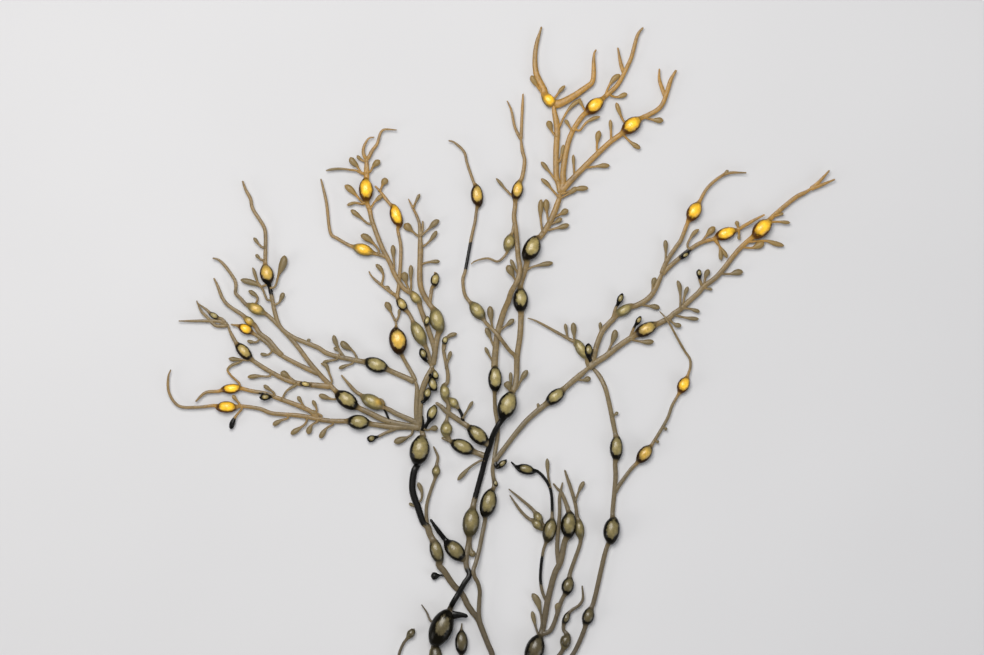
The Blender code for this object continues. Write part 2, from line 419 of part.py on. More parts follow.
LOWER_RIGHT_CLUBS = [
    club(4.5, (575, 501), (580, 488), (584, 481)),
    club(7, (542, 628), (541, 615), (537, 600), (532, 593)),
    club(4.5, (539, 637), (535, 624), (532, 610.5)),
    club(4, (550, 487), (548, 475), (547, 458)),
    club(5.5, (556, 616), (557, 606), (560, 603)),
]

FAR_RIGHT_STRAPS = [
    strap(4.6, 4.6, (507, 765), (524, 734), (547, 698), (564, 667), (575.5, 649), (582, 636), (584.5, 628),
          egg(588, 616, 18, 12), (593, 603), (596, 590), (598.5, 578), (602, 565), (605, 552), (608, 543.5),
          egg(611.2, 530, 27, 16.5), (612.3, 514), (612.7, 505), (614, 495), (615, 488), (615.3, 478),
          (615, 462), egg(616, 448, 25, 13), (615.5, 435), (614.5, 427), (612, 414), (609, 402), (606, 391),
          (603, 383, 3.6), (599, 375.5, 2.4), (595, 370.5, 1.7), (590.5, 366, 1.5)),
    strap(4.0, 2.0, (614.3, 493), (619, 485), (625, 475.5), (631, 468.5), (636.5, 463),
          egg(644, 454, 21, 13), (651.5, 444.5), (656.5, 437), (661.8, 428.4), (667.6, 417.2),
           (671.5, 406), (677, 396),
          egg(683, 385, 18, 12), (687.5, 375), (690, 367), (689.5, 359), (685, 352), (679, 342, 6),
          (674, 333, 8), (670, 326, 9.3), (666, 319.5, 9.3), (662, 314.5, 8.5), (659, 311.5, 8)),
]

FAR_RIGHT_CLUBS = [
    club(3.5, (612.5, 416), (618, 412)),
    club(3.5, (662, 427), (667, 429.5)),
    club(3.5, (655, 440), (658.5, 442.5)),
]

FRONDS = {
    "frond_left": (4.0, LEFT_STRAPS + LEFT_UPRIGHT, LEFT_CLUBS),
    "frond_middle": (4.2, MIDDLE_STRAPS, MIDDLE_CLUBS),
    "frond_right": (4.2, RIGHT_STRAPS + RIGHT_UPRIGHT, RIGHT_CLUBS),
    "frond_low": (4.0, LOW_STRAPS, []),
    "frond_lower_right": (4.1, LOWER_RIGHT_STRAPS, LOWER_RIGHT_CLUBS),
    "frond_far_right": (4.1, FAR_RIGHT_STRAPS, FAR_RIGHT_CLUBS),
}

COLOURS = {
    "frond_left": (0.30, 0.22, 0.07),
    "frond_middle": (0.32, 0.23, 0.07),
    "frond_right": (0.31, 0.23, 0.08),
    "frond_low": (0.25, 0.19, 0.08),
    "frond_lower_right": (0.27, 0.21, 0.08),
    "frond_far_right": (0.27, 0.21, 0.08),
    "holdfast": (0.12, 0.09, 0.05),
}


def place(x, y, height_mm):
    """A photo pixel and a height above the surface, as a point in metres."""
    return np.array([(x - HOLDFAST_X) * PIXEL, (HOLDFAST_Y - y) * PIXEL, height_mm / 1000.0])


def bladder_height(width, strap_height):
    """Height in millimetres of the centre of a bladder that lies on the surface."""
    half = width * PIXEL * 1000.0 / 2.0 * BLADDER_HEIGHT_RATIO
    return max(strap_height, half * BLADDER_REST)


def off_line(p, a, b):
    """Distance in pixels of the waypoint p from the line through a and b."""
    run = math.hypot(b[0] - a[0], b[1] - a[1])
    if run < 1e-9:
        return math.hypot(p[0] - a[0], p[1] - a[1])
    return abs((b[0] - a[0]) * (p[1] - a[1]) - (b[1] - a[1]) * (p[0] - a[0])) / run


def thin_out(points):
    """Leaves out the waypoints of a run that hardly bend it."""
    if len(points) < 3:
        return list(points)
    spread = [off_line(p, points[0], points[-1]) for p in points[1:-1]]
    rise = [abs(p[2] - points[0][2]) * 2.0 for p in points[1:-1]]
    worst = max(range(len(spread)), key=lambda i: max(spread[i], rise[i]))
    if max(spread[worst], rise[worst]) < STRAIGHT_ENOUGH:
        return [points[0], points[-1]]
    middle = worst + 1
    return thin_out(points[: middle + 1])[:-1] + thin_out(points[middle:])


def waypoints(points, strap_height):
    """Every waypoint with its height, and each bladder as (centre, length, width)."""
    found = []
    for item in points:
        if item[0] == "egg":
            _, x, y, length, width, height = item
            level = bladder_height(width, strap_height) if height is None else height
            found.append((x, y, level, length, width))
        else:
            level = item[2] if len(item) == 3 else strap_height
            found.append((item[0], item[1], level))
    return found


def runs(found):
    """The strap between bladders, thinned out, with the bladders kept."""
    kept, run = [], []
    for point in found:
        if len(point) == 5:
            kept += thin_out(run) + [point]
            run = []
        else:
            run.append(point)
    return kept + thin_out(run)


def stations(points, base_width, tip_width, strap_height):
    """Centre, half width and half height of each cross-section of a strap with its bladders."""
    path = runs(waypoints(points, strap_height))
    steps = [math.hypot(b[0] - a[0], b[1] - a[1]) for a, b in zip(path, path[1:])]
    along = np.concatenate([[0.0], np.cumsum(steps)])
    total = along[-1]
    rows = []
    for i, point in enumerate(path):
        share = along[i] / total
        width = (base_width + (tip_width - base_width) * share) * PIXEL
        left = (total - along[i]) * PIXEL
        if left < TIP_LENGTH:
            width *= 0.55 + 0.45 * left / TIP_LENGTH
        height = max(THINNEST_STRAP, width * STRAP_THICKNESS_RATIO)
        centre = place(*point[:3])
        if len(point) == 3:
            rows.append((centre, width / 2.0, height / 2.0))
            continue
        before, after = path[max(i - 1, 0)], path[min(i + 1, len(path) - 1)]
        axis = place(*after[:3]) - place(*before[:3])
        axis[2] = 0.0
        axis /= np.linalg.norm(axis)
        half_length = point[3] * PIXEL / 2.0
        half_width = point[4] * PIXEL / 2.0
        small = point[4] < SMALL_BLADDER
        for u, share_of_width in SMALL_BLADDER_STATIONS if small else BLADDER_STATIONS:
            half = half_width * share_of_width
            rows.append((centre + axis * half_length * u, half, half * BLADDER_HEIGHT_RATIO))
    return rows


def tube(rows, sides):
    """Vertices and faces of a closed tube through the cross-sections, flat on top and below."""
    centres = np.array([row[0] for row in rows])
    up = np.array([0.0, 0.0, 1.0])
    turn = math.sin(math.radians(60.0)) if sides == 6 else 1.0
    vertices = []
    for i, (centre, half_width, half_height) in enumerate(rows):
        ahead = centres[min(i + 1, len(rows) - 1)] - centres[max(i - 1, 0)]
        ahead /= np.linalg.norm(ahead)
        side = np.cross(up, ahead)
        side /= np.linalg.norm(side)
        over = np.cross(ahead, side)
        for k in range(sides):
            angle = 2.0 * math.pi * k / sides
            offset = side * math.cos(angle) * half_width + over * math.sin(angle) / turn * half_height
            corner = centre + offset
            corner[2] = max(corner[2], 0.0)
            vertices.append(corner)
    faces = []
    for i in range(len(rows) - 1):
        for k in range(sides):
            a, b = i * sides + k, i * sides + (k + 1) % sides
            faces.append((a, b, b + sides, a + sides))
    last = (len(rows) - 1) * sides
    faces.append(tuple(reversed(range(sides))))
    faces.append(tuple(last + k for k in range(sides)))
    return vertices, faces


def solid(name, vertices, faces):
    mesh = bpy.data.meshes.new(name)
    mesh.from_pydata([tuple(v) for v in vertices], [], faces)
    mesh.validate()
    return bpy.data.objects.new(name, mesh)


def nearest(point, rows_of_straps):
    """The closest spot on the straps' centre lines."""
    best, spot = 1e9, None
    for rows in rows_of_straps:
        for (a, _, _), (b, _, _) in zip(rows, rows[1:]):
            run = b - a
            share = np.dot(point[:2] - a[:2], run[:2]) / max(np.dot(run[:2], run[:2]), 1e-12)
            candidate = a + run * min(max(share, 0.0), 1.0)
            distance = np.linalg.norm(candidate[:2] - point[:2])
            if distance < best:
                best, spot = distance, candidate
    return spot


def club_rows(width, points, level, rows_of_straps):
    """Cross-sections of a club: a thin stalk from inside the strap, and a rounded head."""
    line = [place(x, y, level) for x, y in points]
    root = nearest(line[0], rows_of_straps)
    if np.linalg.norm(root[:2] - line[0][:2]) > 0.5 * PIXEL:
        line.insert(0, root)
    else:
        line[0] = root
    line = np.array(line)
    line[1:, 2] = root[2] + (level / 1000.0 - root[2]) * 0.5
    steps = np.linalg.norm(np.diff(line, axis=0), axis=1)
    along = np.concatenate([[0.0], np.cumsum(steps)])

    def at(share):
        wanted = share * along[-1]
        return np.array([np.interp(wanted, along, line[:, axis]) for axis in range(3)])

    half_head = width * PIXEL / 2.0
    half_stalk = min(STALK_WIDTH / 2.0, half_head)
    rows = [(at(0.0), half_stalk, half_stalk * 0.6)]
    for share, share_of_width in CLUB_STATIONS:
        half = max(half_head * share_of_width, half_stalk * 0.7)
        rows.append((at(share), half, half * CLUB_HEIGHT_RATIO))
    return rows


def fuse(name, parts):
    """One solid from overlapping ones, by a single union."""
    body = parts[0]
    body.name = name
    bpy.context.scene.collection.objects.link(body)
    gathered = bpy.data.collections.new(name + "_pieces")
    bpy.context.scene.collection.children.link(gathered)
    for part in parts[1:]:
        gathered.objects.link(part)
    union = body.modifiers.new("union", "BOOLEAN")
    union.operation = "UNION"
    union.operand_type = "COLLECTION"
    union.collection = gathered
    union.solver = "EXACT"
    union.use_self = True
    bpy.context.view_layer.update()
    graph = bpy.context.evaluated_depsgraph_get()
    joined = bpy.data.meshes.new_from_object(body.evaluated_get(graph))
    body.modifiers.clear()
    body.data = joined
    for part in parts[1:]:
        bpy.data.objects.remove(part, do_unlink=True)
    bpy.data.collections.remove(gathered)
    return body


def largest_island(mesh):
    """Leaves out loose scraps and the inner skins of sealed hollows."""
    count = len(mesh.vertices)
    leader = list(range(count))

    def find(i):
        while leader[i] != i:
            leader[i] = leader[leader[i]]
            i = leader[i]
        return i

    for edge in mesh.edges:
        a, b = find(edge.vertices[0]), find(edge.vertices[1])
        if a != b:
            leader[a] = b
    sizes = {}
    for i in range(count):
        sizes[find(i)] = sizes.get(find(i), 0) + 1
    main = max(sizes, key=sizes.get)
    keep = [i for i in range(count) if find(i) == main]
    index = {old: new for new, old in enumerate(keep)}
    vertices = [tuple(mesh.vertices[i].co) for i in keep]
    faces = [tuple(index[v] for v in p.vertices) for p in mesh.polygons if p.vertices[0] in index]
    print(mesh.name, "islands", sorted(sizes.values()), "faces", len(faces))
    clean = bpy.data.meshes.new(mesh.name)
    clean.from_pydata(vertices, [], faces)
    return clean


def frond(name, level, straps, clubs, jitter):
    """A frond: each strap with its bladders, then the clubs, all fused."""
    rows_of_straps, parts = [], []
    for number, (base_width, tip_width, points) in enumerate(straps):
        # A little difference in height keeps the flat tops of two straps from lying in one plane.
        lift = level + jitter.uniform(-0.22, 0.22) if number else level
        rows = stations(points, base_width, tip_width, lift)
        if number:
            root = nearest(rows[0][0], rows_of_straps)
            rows[0] = (root + np.array([0.0, 0.0, jitter.uniform(-1, 1) * 1e-4]), rows[0][1], rows[0][2])
        rows_of_straps.append(rows)
        largest = max([point[4] for point in points if point[0] == "egg"], default=0.0)
        thin = base_width <= THIN_STRAP and largest < SMALL_BLADDER
        sides = THIN_STRAP_SIDES if thin else SIDES
        parts.append(solid(f"{name}_strap_{number}", *tube(rows, sides)))
    for number, (width, points) in enumerate(clubs):
        rows = club_rows(width, points, level + jitter.uniform(-0.5, 0.5), rows_of_straps)
        parts.append(solid(f"{name}_club_{number}", *tube(rows, CLUB_SIDES)))
    if len(parts) == 1:
        parts[0].name = name
        bpy.context.scene.collection.objects.link(parts[0])
        return parts[0]
    body = fuse(name, parts)
    body.data = largest_island(body.data)
    return body


def holdfast(jitter):
    """The disc that grips the rock: a low dome with an uneven rim and a flat underside."""
    rings = [(1.00, 0.0), (1.04, 0.14), (0.86, 0.55), (0.50, 0.90)]
    uneven = [jitter.uniform(0.90, 1.0) for _ in range(HOLDFAST_SIDES)]
    vertices = []
    for share, height in rings:
        for k in range(HOLDFAST_SIDES):
            angle = 2.0 * math.pi * k / HOLDFAST_SIDES
            reach = HOLDFAST_RADIUS * share * uneven[k]
            vertices.append((math.cos(angle) * reach, math.sin(angle) * reach, HOLDFAST_HEIGHT * height))
    faces = [tuple(reversed(range(HOLDFAST_SIDES)))]
    for ring in range(len(rings) - 1):
        for k in range(HOLDFAST_SIDES):
            a = ring * HOLDFAST_SIDES + k
            b = ring * HOLDFAST_SIDES + (k + 1) % HOLDFAST_SIDES
            faces.append((a, b, b + HOLDFAST_SIDES, a + HOLDFAST_SIDES))
    top = len(vertices)
    vertices.append((0.0, 0.0, HOLDFAST_HEIGHT))
    last = (len(rings) - 1) * HOLDFAST_SIDES
    for k in range(HOLDFAST_SIDES):
        faces.append((last + k, last + (k + 1) % HOLDFAST_SIDES, top))
    body = solid("holdfast", vertices, faces)
    bpy.context.scene.collection.objects.link(body)
    return body


def give_material(body):
    material = bpy.data.materials.new(body.name)
    material.use_nodes = True
    shader = material.node_tree.nodes["Principled BSDF"]
    shader.inputs["Base Color"].default_value = (*COLOURS[body.name], 1.0)
    shader.inputs["Roughness"].default_value = 0.35
    body.data.materials.clear()
    body.data.materials.append(material)


def centre_all(bodies):
    """Moves everything so the origin is under the middle of the whole plant's box."""
    corners = np.array([v.co for body in bodies for v in body.data.vertices])
    low, high = corners.min(axis=0), corners.max(axis=0)
    shift = np.array([(low[0] + high[0]) / 2.0, (low[1] + high[1]) / 2.0, low[2]])
    for body in bodies:
        for vertex in body.data.vertices:
            vertex.co = tuple(np.array(vertex.co) - shift)
        body.data.update()
    print("shift", shift, "size", high - low)


def main():
    for old in list(bpy.data.objects):
        bpy.data.objects.remove(old, do_unlink=True)
    jitter = random.Random(7)
    bodies = [frond(name, *FRONDS[name], jitter) for name in FRONDS]
    bodies.append(holdfast(jitter))
    for body in bodies:
        give_material(body)
    centre_all(bodies)


main()
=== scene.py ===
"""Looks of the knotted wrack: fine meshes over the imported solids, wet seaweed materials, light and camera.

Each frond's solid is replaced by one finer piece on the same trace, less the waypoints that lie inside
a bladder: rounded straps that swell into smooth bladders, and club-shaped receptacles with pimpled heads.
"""

import math
import random

import bpy
import numpy as np
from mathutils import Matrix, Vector


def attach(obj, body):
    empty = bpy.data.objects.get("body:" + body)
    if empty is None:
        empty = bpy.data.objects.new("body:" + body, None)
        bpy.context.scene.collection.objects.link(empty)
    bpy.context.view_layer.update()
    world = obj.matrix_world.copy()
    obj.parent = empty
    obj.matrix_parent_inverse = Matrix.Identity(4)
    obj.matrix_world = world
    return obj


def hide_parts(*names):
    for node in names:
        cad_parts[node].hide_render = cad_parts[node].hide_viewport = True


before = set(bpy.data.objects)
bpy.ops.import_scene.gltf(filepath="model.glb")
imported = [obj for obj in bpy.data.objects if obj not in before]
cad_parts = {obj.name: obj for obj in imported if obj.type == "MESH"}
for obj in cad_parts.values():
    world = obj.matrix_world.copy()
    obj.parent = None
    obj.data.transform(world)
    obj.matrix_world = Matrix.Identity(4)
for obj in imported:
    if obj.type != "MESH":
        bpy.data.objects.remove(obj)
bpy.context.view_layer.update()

# Driving sizes, in metres, the same as the solids'.
PIXEL = 0.00075  # real size of one photo pixel
STRAP_THICKNESS_RATIO = 0.42
THINNEST_STRAP = 0.0011
BLADDER_HEIGHT_RATIO = 0.95
BLADDER_REST = 0.90
STALK_WIDTH = 0.0017
CLUB_HEIGHT_RATIO = 0.62
TIP_LENGTH = 0.010
NARROWED_TIP = 0.55  # a strap's tip is this share of its width
HOLDFAST_RADIUS = 0.0135
HOLDFAST_HEIGHT = 0.0095
HOLDFAST_X, HOLDFAST_Y = 495.0, 781.0  # the plant's base, in photo pixels
PLANT_X, PLANT_Y = -0.0043772, -0.2759736  # and where that base lies in the frame

# How far the height of a strap or club may wander from its frond's, in millimetres, as in the solids.
STRAP_LIFT, CLUB_LIFT = 0.22, 0.5
ROOT_LIFT = 1e-4  # and that of a strap's root, in metres
TRUNK_START, TRUNK_START_HEIGHT = 0.45, 3.6  # a trunk starts this share of its way out of the holdfast

# Fineness of the meshes, in metres and sides.
STRAP_STEP, CLUB_STEP = 0.0011, 0.0009
STRAP_SIDES, CLUB_SIDES = 14, 10
CURVE_STEPS = 12  # places on the curve from one waypoint to the next

# Forms that the solids leave out.
FULLNESS = 0.82  # below one, a strap's section is squarer than an ellipse
BLADDER_GRIP = 0.80  # the centre line runs straight over this share of a bladder's half length
BLADDER_CORE = 0.9  # and skips other waypoints over this one
BLEND = 4  # the higher, the sharper a strap turns into a bladder
ROOT_FLARE = 0.22  # how much wider a strap starts where it leaves another
ROOT_FLARE_LENGTH = 0.0042
WAVER = 0.03  # share by which a strap's width wanders
WAVER_SPACING = 0.006  # and over which length
STALK_HEIGHT_RATIO = 0.80
STALK_FLARE, STALK_FLARE_LENGTH = 0.5, 0.0012
STALK_END = 0.8  # the stalk fades out inside the head from this share of a club's length
TIP_ROUNDING, LEAST_ROUNDING = 0.33, 0.0004  # share of a strap's tip over which it closes, and the least
CLUB_ROUNDING, THINNEST_CLUB = 0.0001, 0.00006
BLUNT_TIP, BLUNT_ROOT = 0.06, 0.15  # a strap never closes further than to these shares

# The camera looks straight down at the middle of the photo.
PHOTO_WIDTH, PHOTO_HEIGHT = 984, 655
CAMERA_HEIGHT = 2.2
SENSOR = 36.0


# The photo was traced. Every pair below is a waypoint in photo pixels, from base to tip.
# A third number is the height above the surface in millimetres, given where straps cross. A strap is its
# width at the base and at the tip, then its waypoints. A club is its width, then its waypoints.


def egg(x, y, length, width, height=None):
    """A bladder centred on a waypoint."""
    return ("egg", x, y, length, width, height)


LEFT_STRAPS = [
    (5, 7, (494, 761, 2.3), (496, 700, 2.3), (492, 654, 2.3), (488, 644, 2.3), (484.5, 635, 2.3),
     (481, 626, 2.3), (477.5, 618, 2.3), (472, 611, 2.3), (467, 603.5, 2.3), (463.5, 596, 2.3),
     (459, 590, 2.3), (455, 586.5, 2.5), (449, 578.5, 3), (444, 570.5), (439, 564.5),
     egg(436.6, 551, 25, 13), (430, 534), (427.5, 526), (424, 523), (418, 507), (412.6, 489.5),
     (414.5, 470.5), (417, 465.5), egg(419.8, 450, 28, 20), (423, 436), (421, 426)),
    (6, 2.4, (421, 428), (406, 426.7), (396, 427), (371, 423.8), egg(358.7, 422, 22, 15), (345, 421),
     (329, 420.6), (300, 415.5), (270.6, 412.7), (261, 408.8), (240, 406), egg(226.8, 406.9, 21, 12),
     (215.8, 405.5), (198.5, 407), (179, 405.5), (169.6, 392.5), (169, 376), (171.5, 369.5)),
    (5, 3, (319, 418), (310, 410.7), (275.8, 397.1), (266, 393.4), (251, 390.6), (243.7, 388.7),
     egg(231.6, 388.7, 20, 10), (219.6, 391), (206, 392.5), (196, 401.5)),
    (6, 3, (419, 427), (405, 425), (386.5, 420.5), (367, 411.5), (359.6, 408), egg(347, 399.7, 26, 16),
     (335, 390), (312.7, 366), (295, 343), (267.7, 315), egg(256.4, 309, 19, 11), (246, 304),
     (240.8, 298.3), (236, 293), (236.4, 287.7), (235.5, 281), (222.5, 262.7), (217.7, 259.3),
     (213, 258.3)),
    (5.5, 3.5, (331, 386.5), (320, 385.5), (289.8, 381), (254, 361), egg(244.3, 351.5, 22, 11.5),
     (236, 342), (229.3, 328.5), (228.5, 324)),
    (4, 2, (228.5, 325), (219.6, 321.3), (208, 320.9), (179, 321)),
    (3.5, 2.5, (228.5, 325), (222, 326), (216, 325.5), (207, 316.5), (202, 311.5), (197, 300.5)),
    (3.5, 2.5, (227, 322), (222.5, 319.4), egg(214.5, 315.7, 11, 6), (208, 310.5), (198.5, 303.5)),
    (5, 3, (319, 374), (306, 368), (275, 351), (268, 343.5), (256, 334.8), egg(245.9, 329.2, 15.5, 10),
     (237.5, 325.5), (231, 324.5)),
    (5, 3, (283, 356), (278, 351), (268.7, 339.6), (260, 333), (255, 325), egg(249.5, 321, 12, 8),
     (243.7, 315.6), (225.4, 302), (217.7, 285), (214.3, 278)),
    (5.5, 3, (419, 425), (414.4, 421.5), (396, 413.3), (389.4, 409.5), egg(372.5, 401.5, 24, 14),
     (360, 394), (356, 391.5), (341.3, 374.8)),
    (5, 5, (421, 428), (417, 418), (417, 386.5), (415, 381)),
    (5.4, 3.2, (416, 382), (408, 378.5), (390.6, 370.8), egg(376.2, 365, 24, 15), (363.7, 361.6),
     (328, 353.5), (318.5, 347.7), (291.5, 336), (280, 326), (270.5, 289), egg(267.3, 274.5, 20, 14),
     (265.5, 264.5), (265.8, 234), (264.3, 227), (252.8, 208), (250.9, 199), (245.6, 188.7), (243, 181)),
    (3.9, 3.6, (416, 382), (413.7, 376.5), (403, 357.3), egg(398.3, 341, 27, 18), (396.3, 324.5),
     (395.4, 320.8)),
    (5.5, 6, (421, 424), (420.5, 401), (423, 388), (433, 365)),
    (4.2, 3, (432, 367), (430, 359), (425.5, 346), egg(418.8, 333.5, 26, 13), (410, 315), (406.5, 310.5),
     egg(402.1, 304.5, 15, 9.5), (397.5, 297), (398.6, 288), (401, 247), (398, 229),
     egg(396.2, 216.2, 24, 12), (390, 204), (378.8, 189.8), (375, 186)),
    (3.5, 2.2, (397.5, 297), (390.6, 292), (372, 276.5), (369, 271)),
    (5, 4.5, (433, 366), (435, 353), (419.5, 304.5), egg(415.6, 298, 15, 9), (409, 292), (404, 288.5),
     (394.4, 273.5), (390.6, 264), (381.5, 246), (371.6, 218.7), (370, 211), (367.3, 203.3),
     egg(366.3, 190.3, 23, 14.5), (366.3, 177)),
    (5.3, 5.6, (366.6, 187.5), (366.6, 179), (366.8, 158)),
    (3.5, 2, (366.8, 160), (364.4, 156), (363.5, 149.5), (369, 138.8), (374.5, 137.4)),
    (3.5, 2, (366.8, 160), (369.2, 157), (372, 151.3), (377, 144.6), (382.7, 130.7), (397, 130.2)),
    (3.5, 2.8, (386, 258), (377, 254.2), egg(363.3, 249.9, 21, 12), (350, 245.6), (336.5, 238),
     (331.7, 235), (326.4, 201), (321.2, 179)),
    (5.4, 5.4, (433, 366), (434.5, 357), (436, 345), (438, 335), egg(437, 320.5, 25, 14.5), (429.5, 304),
     (424, 295), (420.5, 285), (420.5, 248), (420, 232)),
    (3.5, 2.2, (420, 236), (419, 222), (408.5, 199)),
    (3, 3, (420, 236), (422.5, 229), (423, 221)),
    (3.5, 3, (427.5, 524), (426.5, 507), (430.4, 491.5), (435.2, 478), egg(436.2, 471, 11, 9), (437, 462.7),
     (438, 457), (433.5, 446)),
]

# Small dark bladders that stand up out of the tangle where the straps part.
LEFT_UPRIGHT = [
    (4, 2, (424, 432, 5), (423.5, 424, 6.5), (423, 415.5, 7.5)),
    (4, 2, (425, 431, 5), (427, 424, 6.5), egg(432.2, 412.8, 17, 10, 8), (434.5, 404, 8)),
    (3, 2, (421.5, 403, 4.5), (425, 400.5, 6), egg(427.4, 393.6, 12, 8, 7), (428, 387, 7)),
    (3, 2, (430.5, 373, 4.5), (430.8, 376, 5.5), egg(433, 384.3, 15, 9, 7), (434.5, 391, 7)),
    (3, 2, (432, 367, 4.5), (433.5, 370, 6), egg(435.6, 375, 9, 7, 7), (437, 380, 7)),
    (3, 2, (429, 363, 4.5), (426, 360.5, 5.5), egg(423.3, 354, 12, 8, 7), (421.5, 347.5, 7)),
    (3, 2, (424.5, 326, 4.5), egg(427, 321, 9, 6, 6.5), (426.5, 316, 6.5)),
    (3.5, 3, (430, 303), (431, 295), (432, 288), egg(435, 280, 14, 9), (434.5, 272)),
    (3.5, 3, (272, 396.5, 4.5), egg(265.5, 397, 10, 7, 6.5), (260, 397.5, 6.5)),
    (3, 2.5, (313, 385.5, 4.6), egg(305.5, 384, 10, 6, 6), (299.5, 383, 5.6)),
    (3.5, 2.5, (399, 428), (385, 433), (378, 436.5), egg(371.5, 438.5, 9, 7.5), (367.5, 440)),
]

LEFT_CLUBS = [
    (3.5, (262, 247), (254, 237.7)), (3.5, (262, 260), (256, 254.5)),
    (8, (275, 287), (279, 275), (284, 262), (285, 255.5)), (3, (261, 286), (253, 267.5)),
    (6, (268, 300), (261, 286.7), (246, 281), (241, 280)), (4.5, (258, 298), (252, 292.5), (249, 290.5)),
    (5, (274, 305), (279, 303), (284, 292.5)), (5, (345, 358), (338, 347), (335, 340), (334, 335)),
    (3.5, (340, 352), (334, 347.5)), (7, (357, 358), (353, 351), (344.5, 345), (341.5, 341)),
    (3, (338, 358.5), (323, 362)), (4, (353, 363), (345, 366), (339, 368.5)),
    (4, (332, 382), (329, 372), (326, 365), (321, 363.5)), (3.5, (257, 342), (247.5, 341)),
    (3.5, (269, 354.5), (260.5, 354)), (4.5, (250, 360), (240, 359.5), (229, 358.8)),
    (2.5, (240, 384), (231, 375), (228, 370), (231, 366), (243, 361)),
    (4.5, (270, 376), (258, 376), (248, 377)), (7, (296, 382), (288, 376), (281, 372)),
    (4, (275, 394), (264, 385)), (2.8, (283, 398), (287, 391), (298, 384)), (4, (305, 408), (298, 396)),
    (4, (240, 404), (236, 399), (233, 395)), (5.5, (242, 409), (237, 415), (234, 420), (231, 429)),
    (5, (288, 418), (282, 420), (273, 425)), (5.5, (306, 423), (300, 428), (291, 434)),
    (6, (318, 421), (312, 425), (308, 434)), (5.5, (333, 424), (327, 428), (320, 438)),
    (5, (322, 416), (310, 411)), (4, (317, 410), (313, 400)), (5.5, (336, 399), (319, 395)),
    (7, (412, 434), (399, 440.5), (394, 442)), (7, (390.5, 422), (386, 412), (381, 402), (377, 399)),
    (6.5, (395.4, 321), (392, 314), (389, 307.3), (385.8, 302)), (3, (397, 320), (399, 315), (399.5, 309)),
    (4.5, (382, 284), (383.5, 275), (380, 268), (376, 264.5)), (4, (393.5, 294), (386, 286)),
    (7.5, (409, 291), (406, 282), (404, 272)), (4.5, (411, 289), (411, 275), (411, 265)),
    (5, (394, 268), (393.5, 255), (393, 245)), (7, (379, 251), (373, 243), (367, 238), (361, 235)),
    (5, (369, 224), (360, 217), (351, 210)), (4.5, (371, 208), (375, 202), (383, 195)),
    (3, (362, 204), (355, 203), (347, 205.5)), (6.5, (364, 203), (356, 195), (350, 189), (345, 185.5)),
    (7, (380, 192), (382, 187), (384.5, 182), (388, 179.5)), (6.5, (370, 172), (374, 166), (380, 160.5)),
    (6.5, (362, 173), (357, 166), (353, 162), (350.5, 157.5)), (3.5, (363, 161), (357, 156)),
    (2.2, (362, 174), (357, 171), (350, 170), (340, 169), (330, 170), (326, 171)),
    (8, (418, 236), (412, 231), (404.5, 224)), (6, (421, 236), (430, 228), (434, 224), (439, 220)),
    (4.5, (422, 247), (428, 243), (433, 237), (437, 231)), (3, (413, 209), (416, 202), (420, 194)),
    (4, (420, 265), (430, 262), (440, 261.5)), (6, (427.5, 430), (432, 428.5), (438, 427.5)),
    (8, (447, 575), (441, 575), (431, 576)), (4.5, (421, 500), (422, 492), (418, 482)),
    (3, (418, 508), (409, 503)), (4, (309, 343), (309, 338.5)),
]

